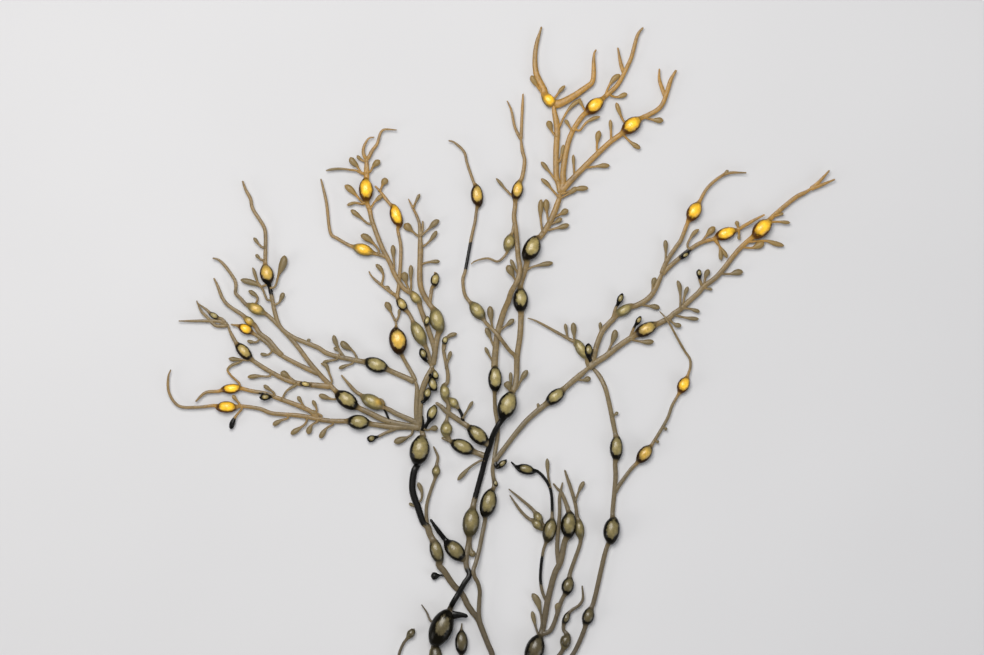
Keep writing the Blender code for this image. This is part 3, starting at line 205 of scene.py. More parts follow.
MIDDLE_STRAPS = [
    (5.2, 5.8, (482.5, 765.5), (466, 735), (438, 678), egg(436, 657, 26, 14), (434.5, 645),
     egg(441.5, 627, 38, 23), (450.5, 607.5), (453, 602, 7), (459, 592, 7), (464, 583, 7),
     (469.5, 574, 6.3), (466.5, 566, 5.5), (466.5, 555, 5), (469, 541), egg(471, 522, 29, 17), (473.5, 504),
     (482.5, 470), (485.5, 458, 5), (489.5, 446, 6), (493, 435, 7.5), (497.5, 426, 8.3), (502, 419, 8.3),
     egg(507, 405.5, 28, 18.5, 8), (512.5, 392, 6), (515, 386, 5), (516.5, 376), (517, 357), (520, 335),
     (521, 313), egg(520.5, 300, 24, 15.5), (520.3, 285), (526.8, 263), egg(531.5, 249, 26, 17), (540, 237),
     (550, 222), (558, 202), (561, 191)),
    (5.5, 6, (561, 194), (559, 186), (556.5, 178), (556, 152), (557, 128), (554, 110), (554, 105)),
    (8, 3, (555, 106), egg(549, 101, 18, 11), (544, 91), (536, 73), (535.5, 50), (541.5, 27)),
    (8, 2.9, (552, 105), (559, 104), (572, 97.5), (587, 87), (591, 84), (593, 79), (594, 54), (596, 50)),
    (6, 3.5, (561, 193), (563, 184), (563, 172), (570, 137), (583, 115.5), egg(594, 106.5, 21, 14),
     (603, 98.5), (617, 85.5), (627, 67), (631, 58), (638, 34), (643, 28)),
    (3.8, 3, (624, 73), (621, 66), (617.5, 48)),
    (6, 4, (561, 193), (566, 186), (608, 144), (620, 135), egg(631, 126, 22, 15), (640, 119), (660, 107.5),
     (671, 79), (676, 70.5)),
    (4, 3, (665, 97), (661.5, 88), (659, 80), (659, 69)),
    # The branch that leaves under the right frond for the small bladder and the long curled twig.
    (3.9, 2.6, (516.5, 362), (515, 356, 5), (510, 351, 6.5), (503, 342, 8.6), (497, 334, 9),
     (492, 329, 8.2), (486, 323, 6), egg(477.3, 311, 21, 13), (469, 301), (465, 295), (463, 279),
     (465, 272), (472, 235), (475, 222), (477, 208), egg(477, 196, 23, 12.5), (474, 183), (467, 163),
     (464, 152), (453, 142), (448.5, 141)),
    # Two bladders to the left of the dark strap, and the tangle above them.
    (5.5, 5, (489.5, 446, 6), egg(478, 435, 25, 15, 6), (467, 425.5), (446, 411), (441, 406),
     (435.5, 402.5)),
    (5.5, 4, (486, 457, 5), (478, 453), egg(462.5, 446.5, 25, 14.5), (450, 440.5), (441.5, 437.5)),
    (5, 4, (450, 440), (447.5, 437), egg(446.5, 429, 15, 12.5), (447, 418), (448, 412)),
    (4.5, 3, (448, 413), (448.5, 404), egg(445, 392, 16, 10), (447, 383), (448, 376), (443.3, 346),
     egg(445, 340.5, 8, 6.5), (445.5, 336)),
    (5, 4.2, (466.5, 560, 5.3), (464.5, 559, 5.3), egg(455, 549.8, 26, 16.5), (446.5, 540.5, 5.3),
     (440.5, 533, 6.3), (435.5, 526, 7), (430.5, 518.5, 7)),
    (3.4, 2.6, (463, 422.5), (462, 415), (459, 409), egg(453.5, 402.5, 12, 9.5), (448.5, 397)),
    (9, 6, (449, 614, 8), (454, 614, 8), (462, 614, 8), (468, 615.5, 8)),
    (2.6, 2, (434, 625, 6), (430, 619, 5), (427, 612), (421.5, 604)),
    (3, 3, (447, 699), (425, 690), (405, 674), (399, 657), (403, 644), egg(411, 633, 11, 8), (414.5, 628)),
]

MIDDLE_CLUBS = [
    (6, (543, 94), (536, 85), (531, 76)), (3.5, (555, 98), (560, 91), (565, 86)),
    (4, (559, 127), (563, 119), (570, 108), (581, 99)), (3.5, (585, 111), (579, 100)),
    (6.5, (556, 137), (552, 132), (548, 121)), (4, (572, 131), (565, 120)),
    (3.5, (579, 131), (586, 123), (593, 119), (600, 117)), (4, (559, 162), (562, 152), (563.5, 145)),
    (3, (574, 177), (573.5, 165), (573, 155)), (6, (597, 152), (597, 142), (599, 131)),
    (3.5, (611, 140), (610.5, 128), (610, 120)), (4.5, (623, 121), (619, 112), (616, 103)),
    (5, (584, 168), (594, 167), (602, 166), (609.5, 166)),
    (5.5, (604, 97), (609, 86), (614, 79), (620, 75)), (5, (611, 96), (617, 97.5), (627, 94)),
    (6, (643, 118), (652, 120), (663, 121)), (5, (624, 136), (631, 143), (640, 149)),
    (4.5, (556, 181), (550, 173), (541, 162)), (4.5, (559, 198), (552, 190), (547, 184), (541, 179)),
    (5.5, (561, 198), (570, 193), (577, 187.5)),
    (5.5, (562, 194), (575, 189.5), (583, 188.5), (588, 188.5)),
    (5.5, (543, 233), (540.5, 218), (540.5, 207), (541, 199.5)),
    (6.5, (549, 223), (546.5, 210), (546, 199.5)), (6.5, (554, 217), (561, 214), (568, 210)),
    (4.5, (548, 226), (556, 222), (562, 218.5)), (5.5, (547, 230), (558, 228), (569, 225)),
    (5, (524, 273), (530, 268), (543, 264.5), (553, 263)),
    (5.5, (516, 389), (521, 380), (524, 375), (527.5, 370)), (8.5, (511, 394), (509, 389), (507, 381)),
    (3.5, (512, 392), (511, 384), (510.5, 372)), (3.2, (463, 418), (468, 409), (473, 401)),
    (4.5, (444, 350), (448, 337), (457, 333.5)), (4, (446, 368), (449, 358), (451, 351)),
    (4.5, (482, 460), (470, 467), (463, 474), (457.5, 480)), (7, (470, 541), (472, 553), (476, 553)),
]

RIGHT_STRAPS = [
    (4.6, 3.7, (495.5, 761, 6), (498, 700, 6), (492.5, 654, 6), (488.5, 644, 6), (484.5, 633, 6),
     (481, 624, 6), (479, 614, 6), (479.3, 600, 6), (479.8, 590, 7), (478, 582, 8.8), (474.5, 575, 10.2),
     (473.5, 569, 10.2), (475.5, 563, 8.8), (479, 550, 6), (482, 535, 5), (485, 520),
     egg(488.3, 503, 29, 16.5), (494, 486), (492.6, 470), (493.6, 462), (494.5, 455, 3.2),
     (496.5, 443, 2.4), (498, 431, 2.2), (497, 420, 2.2), (495.3, 411, 2.2), (494.7, 402, 2.6),
     (494.7, 392), egg(495, 379, 26, 14), (494.6, 364)),
    (6.6, 3.4, (495, 374), (494.6, 364), (497.5, 334), (500.3, 323), (504, 311, 5), (508.3, 301, 7),
     (511.2, 292, 9), (516, 283.5, 9.9), (519, 276, 9.9), (519.7, 267, 8.4), (518, 257, 6.4), (517.4, 248),
     (515.6, 228), (514, 217), (515, 206), egg(517.3, 191, 20, 11.5), (521.8, 178), (524.5, 160),
     (522.5, 152), (520.4, 136)),
    (3, 2.4, (521, 140), (515, 128), (511, 110), (507, 101)),
    (3, 2.8, (521, 140), (521.5, 125), (523, 94)),
    (3, 2, (514.5, 222), (512.3, 233), egg(509, 243, 17, 11.5), (507, 252.5), (498, 261.5), (488, 258.5),
     (475, 261.3), (471, 264.3)),
    (4.8, 5.8, (493.8, 463), (499.5, 454.5), (526, 421), (545, 404.5), egg(555, 396.5, 22, 13),
     (563, 389.5), (590, 366.5)),
    (5.4, 5.2, (589, 368), (592, 362), (597, 344), (603, 330), (613, 319), egg(623.5, 310.5, 19, 10),
     (636, 305.5), (650, 296.5), (663, 271)),
    (4.6, 2.5, (661, 275), (665, 264), (675, 248), (680, 241), (686, 226), (688, 221),
     egg(693.5, 212, 21, 14), (699.5, 201), (708, 187), (726, 174), (746, 173)),
    (4.6, 3, (661, 275), (670, 266), (698, 244), (713, 239), egg(725, 234, 22, 12.5), (737, 230),
     (742, 227, 5), (748, 223.5, 6), (757, 218.5, 7), (764, 215, 7.5)),
    (6, 4.2, (587, 368.5), (597, 361.5), (605, 356.5), (620, 345), (633.5, 336), egg(645.5, 329.5, 24, 13),
     (657, 324), (668, 318.5), (674, 313.4), (679.6, 309.6), (690.8, 299.3), (697.7, 293.2), (703, 287),
     (716, 277), (739, 249), (750.5, 238.5), egg(761, 229, 24, 15.5), (770, 219), (796, 197), (804, 193),
     (812, 188)),
    (3.6, 2.8, (810, 189), (817, 183.5), (829, 170.5)),
    (3.6, 2.6, (810, 189), (819, 186), (834.5, 179.5)),
    # The wedge above the fork, which narrows into a long twig to the left.
    (4.4, 2, (589, 368), (587, 361), egg(581.5, 350, 25, 10.5), (573, 341), (535, 320.5), (527.5, 318)),
]

RIGHT_UPRIGHT = [
    (3.5, 2.5, (592, 363, 4.5), (589, 358, 6), egg(588.3, 350.5, 14, 8.5, 7.5), (588.5, 343, 7.5)),
    (3, 2.5, (612, 320, 4.5), (615, 309, 5), egg(619.8, 299, 11, 6.5, 5), (622, 293, 5)),
    (3, 2.5, (629, 339, 4.5), (634, 327, 5.5), egg(638, 320.5, 9, 5.5, 6), (640.5, 316, 6)),
    (3, 2.5, (702, 287, 4.5), (699, 279, 5), egg(698.5, 273.5, 8, 6, 5), (697.5, 269.5, 5)),
    (3.5, 3, (679, 259, 4.5), egg(684.5, 255.5, 9, 5, 6), (689, 252.5, 6)),
    (4, 3, (494.5, 458, 5), (497, 467, 6), egg(502, 463.5, 11, 6.5, 6.5), (506.5, 459, 6.5)),
    (4, 3, (492.7, 478, 5), egg(495.6, 483, 6, 5, 5.5), (496, 486.5, 5.5)),
]

RIGHT_CLUBS = [
    (6, (575, 346), (574, 335), (573.5, 328), (573, 322.5)), (3.5, (568, 340), (566, 330), (565, 323.5)),
    (3.5, (600, 337), (600, 322)), (6.5, (606, 356), (612, 342), (614.5, 335), (615, 329.5)),
    (5.5, (630, 339), (640, 341.5), (647, 342), (653.5, 341.5)),
    (5.5, (652, 294), (652.5, 285), (655, 277.5)),
    (5.5, (639, 304.5), (648, 306), (653, 306.5), (659.5, 308)),
    (4.5, (665.5, 264), (665.5, 252), (665, 240)), (4.5, (680, 308), (680, 295), (679, 286), (677, 280.5)),
    (4, (683, 305), (684, 297), (687.5, 286.5)), (4, (674, 315), (687, 318), (698.5, 319)),
    (4, (681, 308), (690, 309), (699.5, 312)), (4, (687, 246), (693, 234), (698.5, 229.5)),
    (6.5, (699, 244), (706, 236), (710, 231.5), (714.5, 227)),
    (5.5, (704, 286), (705, 277), (708.5, 269.5)), (3, (703, 288), (712, 289.5)),
    (6.5, (719, 274), (730, 274), (736, 272.5), (742.5, 272)), (4, (714, 240), (722, 250), (727, 258)),
    (4.5, (716, 240), (719.5, 248), (720.5, 260.5)),
    (7.5, (742, 247), (752, 248), (757, 246), (763.5, 242.5)),
    (5, (748, 242), (766, 241), (774, 243.5), (783.5, 246)), (3.5, (769, 222), (779, 222), (789.5, 223)),
    (3, (774, 216), (783, 213.5)), (4.5, (738, 230.5), (736, 221)), (3, (738, 230), (738.5, 240)),
    (3, (722, 176), (728, 170.5)), (6, (576, 379), (583, 380), (590.5, 378)), (3, (538, 410), (538, 403)),
    (6.5, (494, 332), (491.5, 322), (490.4, 313), (490, 306)), (5.5, (495, 348), (490, 337), (486, 327.5)),
    (3.5, (494.5, 365), (489, 355), (485, 347)), (5, (498, 332), (507, 325), (514, 319)),
    (7.5, (517, 283), (514, 278), (510.5, 271), (507, 265.5)), (4, (519, 276), (514, 267), (510.5, 259.5)),
    (2.8, (514, 198), (505, 189), (500, 183), (496, 178.5)), (5, (668, 319), (675, 324.5), (681, 326)),
]

LOW_STRAPS = [
    (5, 2.5, (489.8, 760.5), (479, 735), (468, 700), (461.5, 657), egg(461.5, 642, 25, 13), (461.5, 628),
     (462, 622.5)),
]

LOWER_RIGHT_STRAPS = [
    (6, 6, (500.5, 762), (512, 725), (528, 669), egg(534.5, 649, 30, 19), (541, 634), (548.5, 596),
     (555, 572), (560, 562), (565, 540), egg(568.3, 524.5, 27, 15.5), (567.5, 508)),
    (4.4, 3, (568, 515), (567.5, 508), (561, 492), (557, 488), (553, 483)),
    (4.5, 3, (559, 564), (557, 548), (559.5, 512), (559.5, 497), (562.5, 482)),
    (3, 3, (547, 603), (542.5, 592), (540.3, 578), (543, 551), (545.3, 543.5), egg(549.3, 530, 25, 13.5),
     (552, 516.5), (550, 488), (541, 474), (536, 470.5), egg(525.5, 469, 20, 10.5), (515, 465.5),
     (511, 461.5)),
    (4, 2.2, (546, 532), egg(538, 517, 12, 9), (532, 508.5), (508.5, 488.5)),
    (4, 2.2, (544, 533), egg(537, 524, 13, 9), (529, 518.5), (521, 511), (509.5, 494.5)),
    (4.4, 3.4, (541, 634), (550, 630), (561, 601), (564, 595), egg(567.5, 585.5, 18, 12.5), (569.5, 574),
     (580, 543), egg(579.5, 529, 20, 9.6), (576.8, 515), (575, 503), (564.5, 469.5)),
    (5, 2.5, (531, 664), (545, 664), (557, 657), egg(565.3, 640.5, 16, 11), (563.5, 629),
     egg(566, 618, 13, 7), (572.5, 609), (578.5, 605), (582.5, 599), (582, 585)),
]

LOWER_RIGHT_CLUBS = [
    (4.5, (575, 501), (580, 488), (584, 481)), (7, (542, 628), (541, 615), (537, 600), (532, 593)),
    (4.5, (539, 637), (535, 624), (532, 610.5)), (4, (550, 487), (548, 475), (547, 458)),
    (5.5, (556, 616), (557, 606), (560, 603)),
]

FAR_RIGHT_STRAPS = [
    (4.6, 4.6, (507, 765), (524, 734), (547, 698), (564, 667), (575.5, 649), (584.5, 628),
     egg(588, 616, 18, 12), (593, 603), (605, 552), (608, 543.5), egg(611.2, 530, 27, 16.5), (612.3, 514),
     (615.3, 478), (615, 462), egg(616, 448, 25, 13), (615.5, 435), (606, 391), (603, 383, 3.6),
     (599, 375.5, 2.4), (595, 370.5, 1.7), (590.5, 366, 1.5)),
    (4, 2, (614.3, 493), (619, 485), (631, 468.5), (636.5, 463), egg(644, 454, 21, 13), (651.5, 444.5),
     (667.6, 417.2), (671.5, 406), (677, 396), egg(683, 385, 18, 12), (687.5, 375), (690, 367),
     (689.5, 359), (685, 352), (679, 342, 6), (674, 333, 8), (670, 326, 9.3), (666, 319.5, 9.3),
     (662, 314.5, 8.5), (659, 311.5, 8)),
]

FAR_RIGHT_CLUBS = [
    (3.5, (612.5, 416), (618, 412)), (3.5, (662, 427), (667, 429.5)), (3.5, (655, 440), (658.5, 442.5)),
]

# Each frond's height above the surface in millimetres, its straps and its clubs.
FRONDS = {
    "frond_left": (4.0, LEFT_STRAPS + LEFT_UPRIGHT, LEFT_CLUBS),
    "frond_middle": (4.2, MIDDLE_STRAPS, MIDDLE_CLUBS),
    "frond_right": (4.2, RIGHT_STRAPS + RIGHT_UPRIGHT, RIGHT_CLUBS),
    "frond_low": (4.0, LOW_STRAPS, []),
    "frond_lower_right": (4.1, LOWER_RIGHT_STRAPS, LOWER_RIGHT_CLUBS),
    "frond_far_right": (4.1, FAR_RIGHT_STRAPS, FAR_RIGHT_CLUBS),
}

# Where the plant is golden: x, y and reach in photo pixels, and how golden.
GOLD_SPOTS = [
    (600, 100, 95, 1), (548, 95, 45, 1), (560, 180, 60, 0.62), (660, 90, 50, 0.9), (761, 228, 36, 1),
    (725, 234, 26, 1), (694, 212, 26, 1), (808, 190, 46, 0.8), (720, 178, 40, 0.55),
    (232, 388, 20, 1.1), (227, 407, 20, 1), (244, 329, 10, 1), (244, 351, 14, 0.3), (316, 411, 8, 0.4),
    (381, 401, 7, 0.5), (398, 340, 15, 0.55), (645, 328, 15, 0.4), (366, 189, 26, 1.2), (396, 215, 20, 1),
    (363, 250, 18, 0.72), (372, 150, 36, 0.7), (477, 196, 18, 0.45), (267, 272, 18, 0.45),
    (683, 385, 14, 0.8), (644, 454, 14, 0.45), (531, 249, 20, 0.2), (517, 188, 16, 0.5),
    (330, 225, 40, 0.45), (256, 309, 12, 0.4), (390, 270, 60, 0.35), (185, 385, 40, 0.35),
    (300, 410, 60, 0.3),
]
# Above the first row of the photo the whole plant turns a little golden, below the second painted shade
# darkens it.
GOLD_ROW, GOLD_ROWS, GOLD_MOST = 420.0, 900.0, 0.25
SHADE_ROW, SHADE_ROWS = 380.0, 270.0
# Black and shiny, a painted reflection of a dark sky, also darker old stretches: a reach, then the run of
# points. It colours only the straps that it follows.
BLACK_REFLECTION_RUNS = [
    (6, (417, 467), (412.6, 480), (413, 492), (418, 507), (423, 519)),
    (5.5, (430, 519), (436, 527), (445, 539)),
    (6, (501, 421), (495, 433), (488, 450), (482, 468), (479, 483), (476, 492)),
    (6, (470, 574), (462, 587), (453, 601)), (5, (457, 613), (463, 614), (468, 615)),
    (5.5, (512, 464), (525, 469), (538, 471), (547, 480), (551, 490), (552, 505)),
    (3.5, (471, 246), (469, 256), (466.5, 266)), (3.5, (424, 431), (423.5, 424), (423, 416)),
    (3, (425, 431), (427, 424), (429, 420)), (2.5, (460, 411), (462, 416), (463, 422)),
    (4.5, (423, 348), (423, 361)), (3.5, (423, 402), (426, 398)), (3, (430.5, 374), (432, 379)),
    (4.5, (588, 344), (588, 358)), (4.5, (497, 468), (505, 460)), (4, (266, 283), (272, 291)),
    (4, (541, 560), (543, 580)), (4, (430, 575), (441, 575)), (4, (369, 439), (374, 437)),
    (4, (617, 302), (622, 294)), (4, (636, 324), (640, 316)), (3.5, (683, 257), (688, 253)),
    (3, (384, 408), (387, 414), (390, 421)), (3.5, (262, 396), (269, 398)),
    (3.5, (696, 271), (700, 276)), (3, (233, 421), (230.5, 429)),
]
BLACK_REFLECTION_NEAR = 4.0  # how closely a strap must follow a run, in pixels
BLACK_REFLECTION_FADE = 1.6  # the black ends this many reaches from the run
# Bladders whose painted rim shade is missing, or below zero is broader than most: x, y and how pale the
# painted rim shade is.
PALE_RIM_SHADE_BLADDERS = [
    (446.5, 429, 1), (437, 320.5, 0.6), (418.8, 333.5, 0.8), (415.6, 298, 0.9), (445, 392, 0.8),
    (363, 250, 0.8), (256, 309, 1), (249.5, 321, 1), (549, 101, 0.8), (509, 243, 0.8), (436, 471, 0.5),
    (411, 633, 0.6), (538, 517, 0.8), (537, 524, 0.8), (579.5, 529, 0.6), (623, 312, 0.8), (549, 530, 0.1),
    (565.3, 640.5, 0.6), (581.5, 350, 1), (372.5, 401.5, 0.8), (453.5, 402.5, 1), (436, 657, 0.7),
    (478, 311, 0.5), (471, 522, 0.25), (488, 503, -0.1), (436.6, 551, 0.1), (398.3, 341, -0.4),
    (477, 196, -0.3), (244.3, 351.5, -0.4), (611.8, 530, -0.3), (441, 627, -1), (534, 649, -0.5),
    (347, 399.7, -0.3), (531, 249, -0.3), (520, 299.5, -0.5), (566, 618, -0.4),
]
BLADDER_NEAR = 3.0  # how close a bladder has to be to one of these, in pixels
# A bladder's painted highlight is brightest a little up and to the right of its middle, as a share of its
# half size.
SHINE_OFFSET = (0.08, 0.13)

# Half width of a club's head, as shares of its width, at shares of its length.
HEAD_PROFILE = ([0.0, 0.34, 0.48, 0.60, 0.70, 0.79, 0.88, 0.95, 0.985, 1.0],
                [0.0, 0.0, 0.28, 0.66, 0.92, 1.0, 0.92, 0.66, 0.36, 0.10])

# Lights: name, place, size, power and colour, all turned to the middle of the picture.
LIGHTS = [
    ("overhead", (-0.2566, 0.6142, 1.7), 1.1, 30.0, (1.0, 0.98, 0.95)),
    ("side", (1.6, -1.2, 1.1), 1.4, 9.0, (0.94, 0.97, 1.0)),
    ("low_left", (-1.5, -0.6, 0.7), 0.8, 6.0, (1.0, 0.97, 0.93)),
]
ROOM_LIGHT, ROOM_STRENGTH = (0.92, 0.94, 1.0, 1.0), 0.26
FLOOR_SIZE = 6.0
# The lobes of the holdfast's rim: how many, how deep as a share of its radius, and how far turned.
HOLDFAST_LOBES = [(3, 0.035, 0.4), (7, 0.045, 1.9), (13, 0.02, 0.7)]


def place(x, y, height_mm):
    """A photo pixel and a height above the surface, as a point in the frame."""
    across, up = (x - HOLDFAST_X) * PIXEL, (HOLDFAST_Y - y) * PIXEL
    return np.array([across + PLANT_X, up + PLANT_Y, height_mm / 1000.0])


def to_pixels(points):
    """Places in the frame, as photo pixels."""
    across, up = points[:, 0] - PLANT_X, points[:, 1] - PLANT_Y
    return np.stack([across / PIXEL + HOLDFAST_X, HOLDFAST_Y - up / PIXEL], axis=1)


def bladder_height(width, strap_height):
    """Height in millimetres of the centre of a bladder that lies on the surface."""
    half = width * PIXEL * 1000.0 / 2.0 * BLADDER_HEIGHT_RATIO
    return max(strap_height, half * BLADDER_REST)


def centre_line(points, strap_height):
    """Points on a strap's centre line, and its bladders as (index, half length, half width)."""
    found = []
    for item in points:
        if item[0] == "egg":
            _, x, y, length, width, height = item
            level = bladder_height(width, strap_height) if height is None else height
            found.append((place(x, y, level), length * PIXEL / 2.0, width * PIXEL / 2.0))
        else:
            level = item[2] if len(item) == 3 else strap_height
            found.append((place(item[0], item[1], level), 0.0, 0.0))
    line, bladders = [], []
    for i, (here, half_length, half_width) in enumerate(found):
        if half_length == 0.0:
            apart = [np.linalg.norm(n[0][:2] - here[:2]) >= n[1] * BLADDER_CORE for n in found if n[1] > 0.0]
            if all(apart):
                line.append(here)
            continue
        axis = found[min(i + 1, len(found) - 1)][0] - found[max(i - 1, 0)][0]
        axis[2] = 0.0
        axis /= np.linalg.norm(axis)
        line.append(here - axis * half_length * BLADDER_GRIP)
        bladders.append((len(line), half_length, half_width))
        line.append(here)
        line.append(here + axis * half_length * BLADDER_GRIP)
    return line, bladders


def smooth_line(line, step, cap):
    """A smooth curve through the points, as stations that close up towards its end.

    Returns their centres, their distances along the curve, and those of the points.
    """
    points = np.array(line)
    gaps = np.maximum(np.linalg.norm(np.diff(points, axis=0), axis=1), 1e-6)
    knots = np.concatenate([[0.0], np.cumsum(np.sqrt(gaps))])
    steps = np.diff(knots)[:, None]
    slopes = np.diff(points, axis=0) / steps
    inner = (slopes[:-1] * steps[1:] + slopes[1:] * steps[:-1]) / (steps[:-1] + steps[1:])
    tangents = np.concatenate([slopes[:1], inner, slopes[-1:]])
    spans = [np.linspace(a, b, CURVE_STEPS, endpoint=False) for a, b in zip(knots, knots[1:])]
    fine = np.concatenate(spans + [knots[-1:]])
    left = np.clip(np.searchsorted(knots, fine, side="right") - 1, 0, len(knots) - 2)
    span = steps[left]
    u = (fine - knots[left])[:, None] / span
    curve = (2 * u ** 3 - 3 * u ** 2 + 1) * points[left] + (u ** 3 - 2 * u ** 2 + u) * span * tangents[left]
    curve += (3 * u ** 2 - 2 * u ** 3) * points[left + 1] + (u ** 3 - u ** 2) * span * tangents[left + 1]
    along = np.concatenate([[0.0], np.cumsum(np.linalg.norm(np.diff(curve, axis=0), axis=1))])
    marks = np.interp(knots, fine, along)
    total = along[-1]
    even = np.linspace(0.0, total, max(int(total / step), 4) + 1)
    closing = total - cap * np.array([1.0, 0.7, 0.45, 0.25, 0.1, 0.02, 0.0])
    stations = np.concatenate([even[even < closing[0] - step * 0.3], closing])
    centres = np.stack([np.interp(stations, along, curve[:, k]) for k in range(3)], axis=1)
    return centres, stations, marks


def soften(values):
    """Rounds off the corners of a run of values."""
    for _ in range(2):
        padded = np.concatenate([values[:1], values, values[-1:]])
        values = (padded[:-2] + 2.0 * padded[1:-1] + padded[2:]) / 4.0
    return values


def wander(stations, waver):
    """A smooth random run between -1 and 1."""
    count = int(stations[-1] / WAVER_SPACING) + 3
    knots = [waver.uniform(-1.0, 1.0) for _ in range(count)]
    return np.interp(stations / WAVER_SPACING, range(count), knots)


def headings(centres):
    """The direction of a line at each of its stations, one long."""
    ahead = np.gradient(centres, axis=0)
    return ahead / np.maximum(np.linalg.norm(ahead, axis=1), 1e-9)[:, None]


def skin(centres, half_widths, half_heights, sides, fullness):
    """Rings of points round a centre line, none below the surface it lies on, and how high each side is."""
    ahead = headings(centres)
    side = np.cross(np.array([0.0, 0.0, 1.0]), ahead)
    side /= np.maximum(np.linalg.norm(side, axis=1), 1e-9)[:, None]
    over = np.cross(ahead, side)
    angles = 2.0 * math.pi * np.arange(sides) / sides
    across = np.sign(np.cos(angles)) * np.abs(np.cos(angles)) ** fullness
    upward = np.sign(np.sin(angles)) * np.abs(np.sin(angles)) ** fullness
    rings = centres[:, None, :] + side[:, None, :] * (half_widths[:, None] * across[None, :])[:, :, None]
    rings = rings + over[:, None, :] * (half_heights[:, None] * upward[None, :])[:, :, None]
    rings[:, :, 2] = np.maximum(rings[:, :, 2], 0.0)
    return rings, upward


def wall(start, rings, sides):
    """Faces between rings of points that follow one another from start."""
    faces = []
    for first in range(start, start + (rings - 1) * sides, sides):
        for k in range(sides):
            a, b = first + k, first + (k + 1) % sides
            faces.append((a, b, b + sides, a + sides))
    return faces


class Gather:
    """Collects tubes and their painted values for one mesh."""

    def __init__(self):
        self.points, self.faces, self.count = [], [], 0
        self.paint = {"swell": [], "crown": [], "head": [], "ink": [], "pale": []}

    def add(self, rings, **paint):
        number, sides, _ = rings.shape
        start = self.count
        self.faces += wall(start, number, sides)
        last = start + (number - 1) * sides
        self.faces.append(tuple(range(start, start + sides))[::-1])
        self.faces.append(tuple(range(last, last + sides)))
        self.points.append(rings.reshape(-1, 3))
        self.count += number * sides
        for name, values in self.paint.items():
            values.append(np.broadcast_to(paint.get(name, 0.0), (number, sides)).reshape(-1))


def black_reflection_field(centres, rings):
    """How black a tube is, from the runs that it follows: painted reflection of a dark sky, also darker old
    stretches.
    """
    line, points = to_pixels(centres), to_pixels(rings.reshape(-1, 3))
    ink = np.zeros(len(points))
    for reach, *run in BLACK_REFLECTION_RUNS:
        astray = max(np.min(np.hypot(*(line - point).T)) for point in run)
        if astray < BLACK_REFLECTION_NEAR:
            ink = np.maximum(ink, np.clip(BLACK_REFLECTION_FADE - run_distance(points, run) / reach, 0.0, 1.0))
    return ink.reshape(rings.shape[:2])


def rim_shade_paleness(x, y):
    """How pale the painted rim shade of the bladder at this pixel is."""
    near = [pale for at_x, at_y, pale in PALE_RIM_SHADE_BLADDERS if math.hypot(at_x - x, at_y - y) < BLADDER_NEAR]
    return max(near, default=0.0)


def strap_tube(gather, points, base_width, tip_width, level, root, waver):
    """One strap with its bladders. Returns its centre line."""
    line, bladders = centre_line(points, level)
    if root is not None:
        line[0] = root
    cap = max(tip_width * PIXEL * TIP_ROUNDING, LEAST_ROUNDING)
    centres, stations, marks = smooth_line(line, STRAP_STEP, cap)
    left = stations[-1] - stations
    width = (base_width + (tip_width - base_width) * stations / stations[-1]) * PIXEL
    width *= np.minimum(NARROWED_TIP + (1.0 - NARROWED_TIP) * left / TIP_LENGTH, 1.0)
    width *= 1.0 + WAVER * wander(stations, waver)
    half_width = width / 2.0
    half_height = np.maximum(THINNEST_STRAP, width * STRAP_THICKNESS_RATIO) / 2.0
    if root is not None:
        half_width = half_width * (1.0 + ROOT_FLARE * np.exp(-stations / ROOT_FLARE_LENGTH))
    swell, pale = np.zeros_like(stations), np.zeros_like(stations)
    radial = np.ones((len(stations), STRAP_SIDES))
    heading = headings(centres[:, :2])
    plain_width = half_width.copy()
    sideways = np.cos(2.0 * math.pi * np.arange(STRAP_SIDES) / STRAP_SIDES)
    for index, half_length, bladder in bladders:
        u = (stations - marks[index]) / half_length
        bulge = np.sqrt(np.clip(1.0 - u * u, 0.0, 1.0))
        wide, high = bladder * bulge, bladder * BLADDER_HEIGHT_RATIO * bulge
        half_width = (half_width ** BLEND + wide ** BLEND) ** (1.0 / BLEND)
        half_height = (half_height ** BLEND + high ** BLEND) ** (1.0 / BLEND)
        # A bladder's colour starts where it is nearly as wide as the strap.
        swell = np.maximum(swell, np.clip((wide - plain_width * 0.9) / (bladder * 0.3), 0.0, 1.0))
        middle = np.argmin(np.abs(u))
        # Paleness of this bladder's painted rim shade.
        paleness = rim_shade_paleness(*to_pixels(centres[middle:middle + 1])[0])
        pale = np.where(np.abs(u) < 1.2, paleness, pale)
        # Painted highlight: how far each point lies from a shine point a little off the bladder's middle.
        (x, y), (shine_x, shine_y) = heading[middle], SHINE_OFFSET
        across = sideways * bulge[:, None] - (shine_y * x - shine_x * y)
        lengthwise = (u - (shine_x * x + shine_y * y))[:, None]
        radial = np.where(np.abs(u)[:, None] < 1.0, np.minimum(across ** 2 + lengthwise ** 2, 1.0), radial)
    half_width, half_height = soften(half_width), soften(half_height)
    closing = np.clip(1.0 - left / cap, 0.0, 1.0)
    end = np.maximum(np.sqrt(1.0 - closing ** 2), BLUNT_TIP)
    if root is not None:
        opening = np.clip(1.0 - stations / (base_width * PIXEL / 2.0), 0.0, 1.0)
        end *= np.maximum(np.sqrt(1.0 - opening ** 2), BLUNT_ROOT)
    rings, upward = skin(centres, half_width * end, half_height * end, STRAP_SIDES, FULLNESS)
    # Painted light on the bladder's upper side, brightest at the shine point; the underside gets none.
    crown = np.where(upward[None, :] > 0.0, 1.0 - radial, 0.0)
    # Black painted reflection of a dark sky along the marked runs, also darker old stretches.
    ink = black_reflection_field(centres, rings)
    gather.add(rings, swell=soften(swell)[:, None], crown=crown, pale=pale[:, None], ink=ink)
    return centres


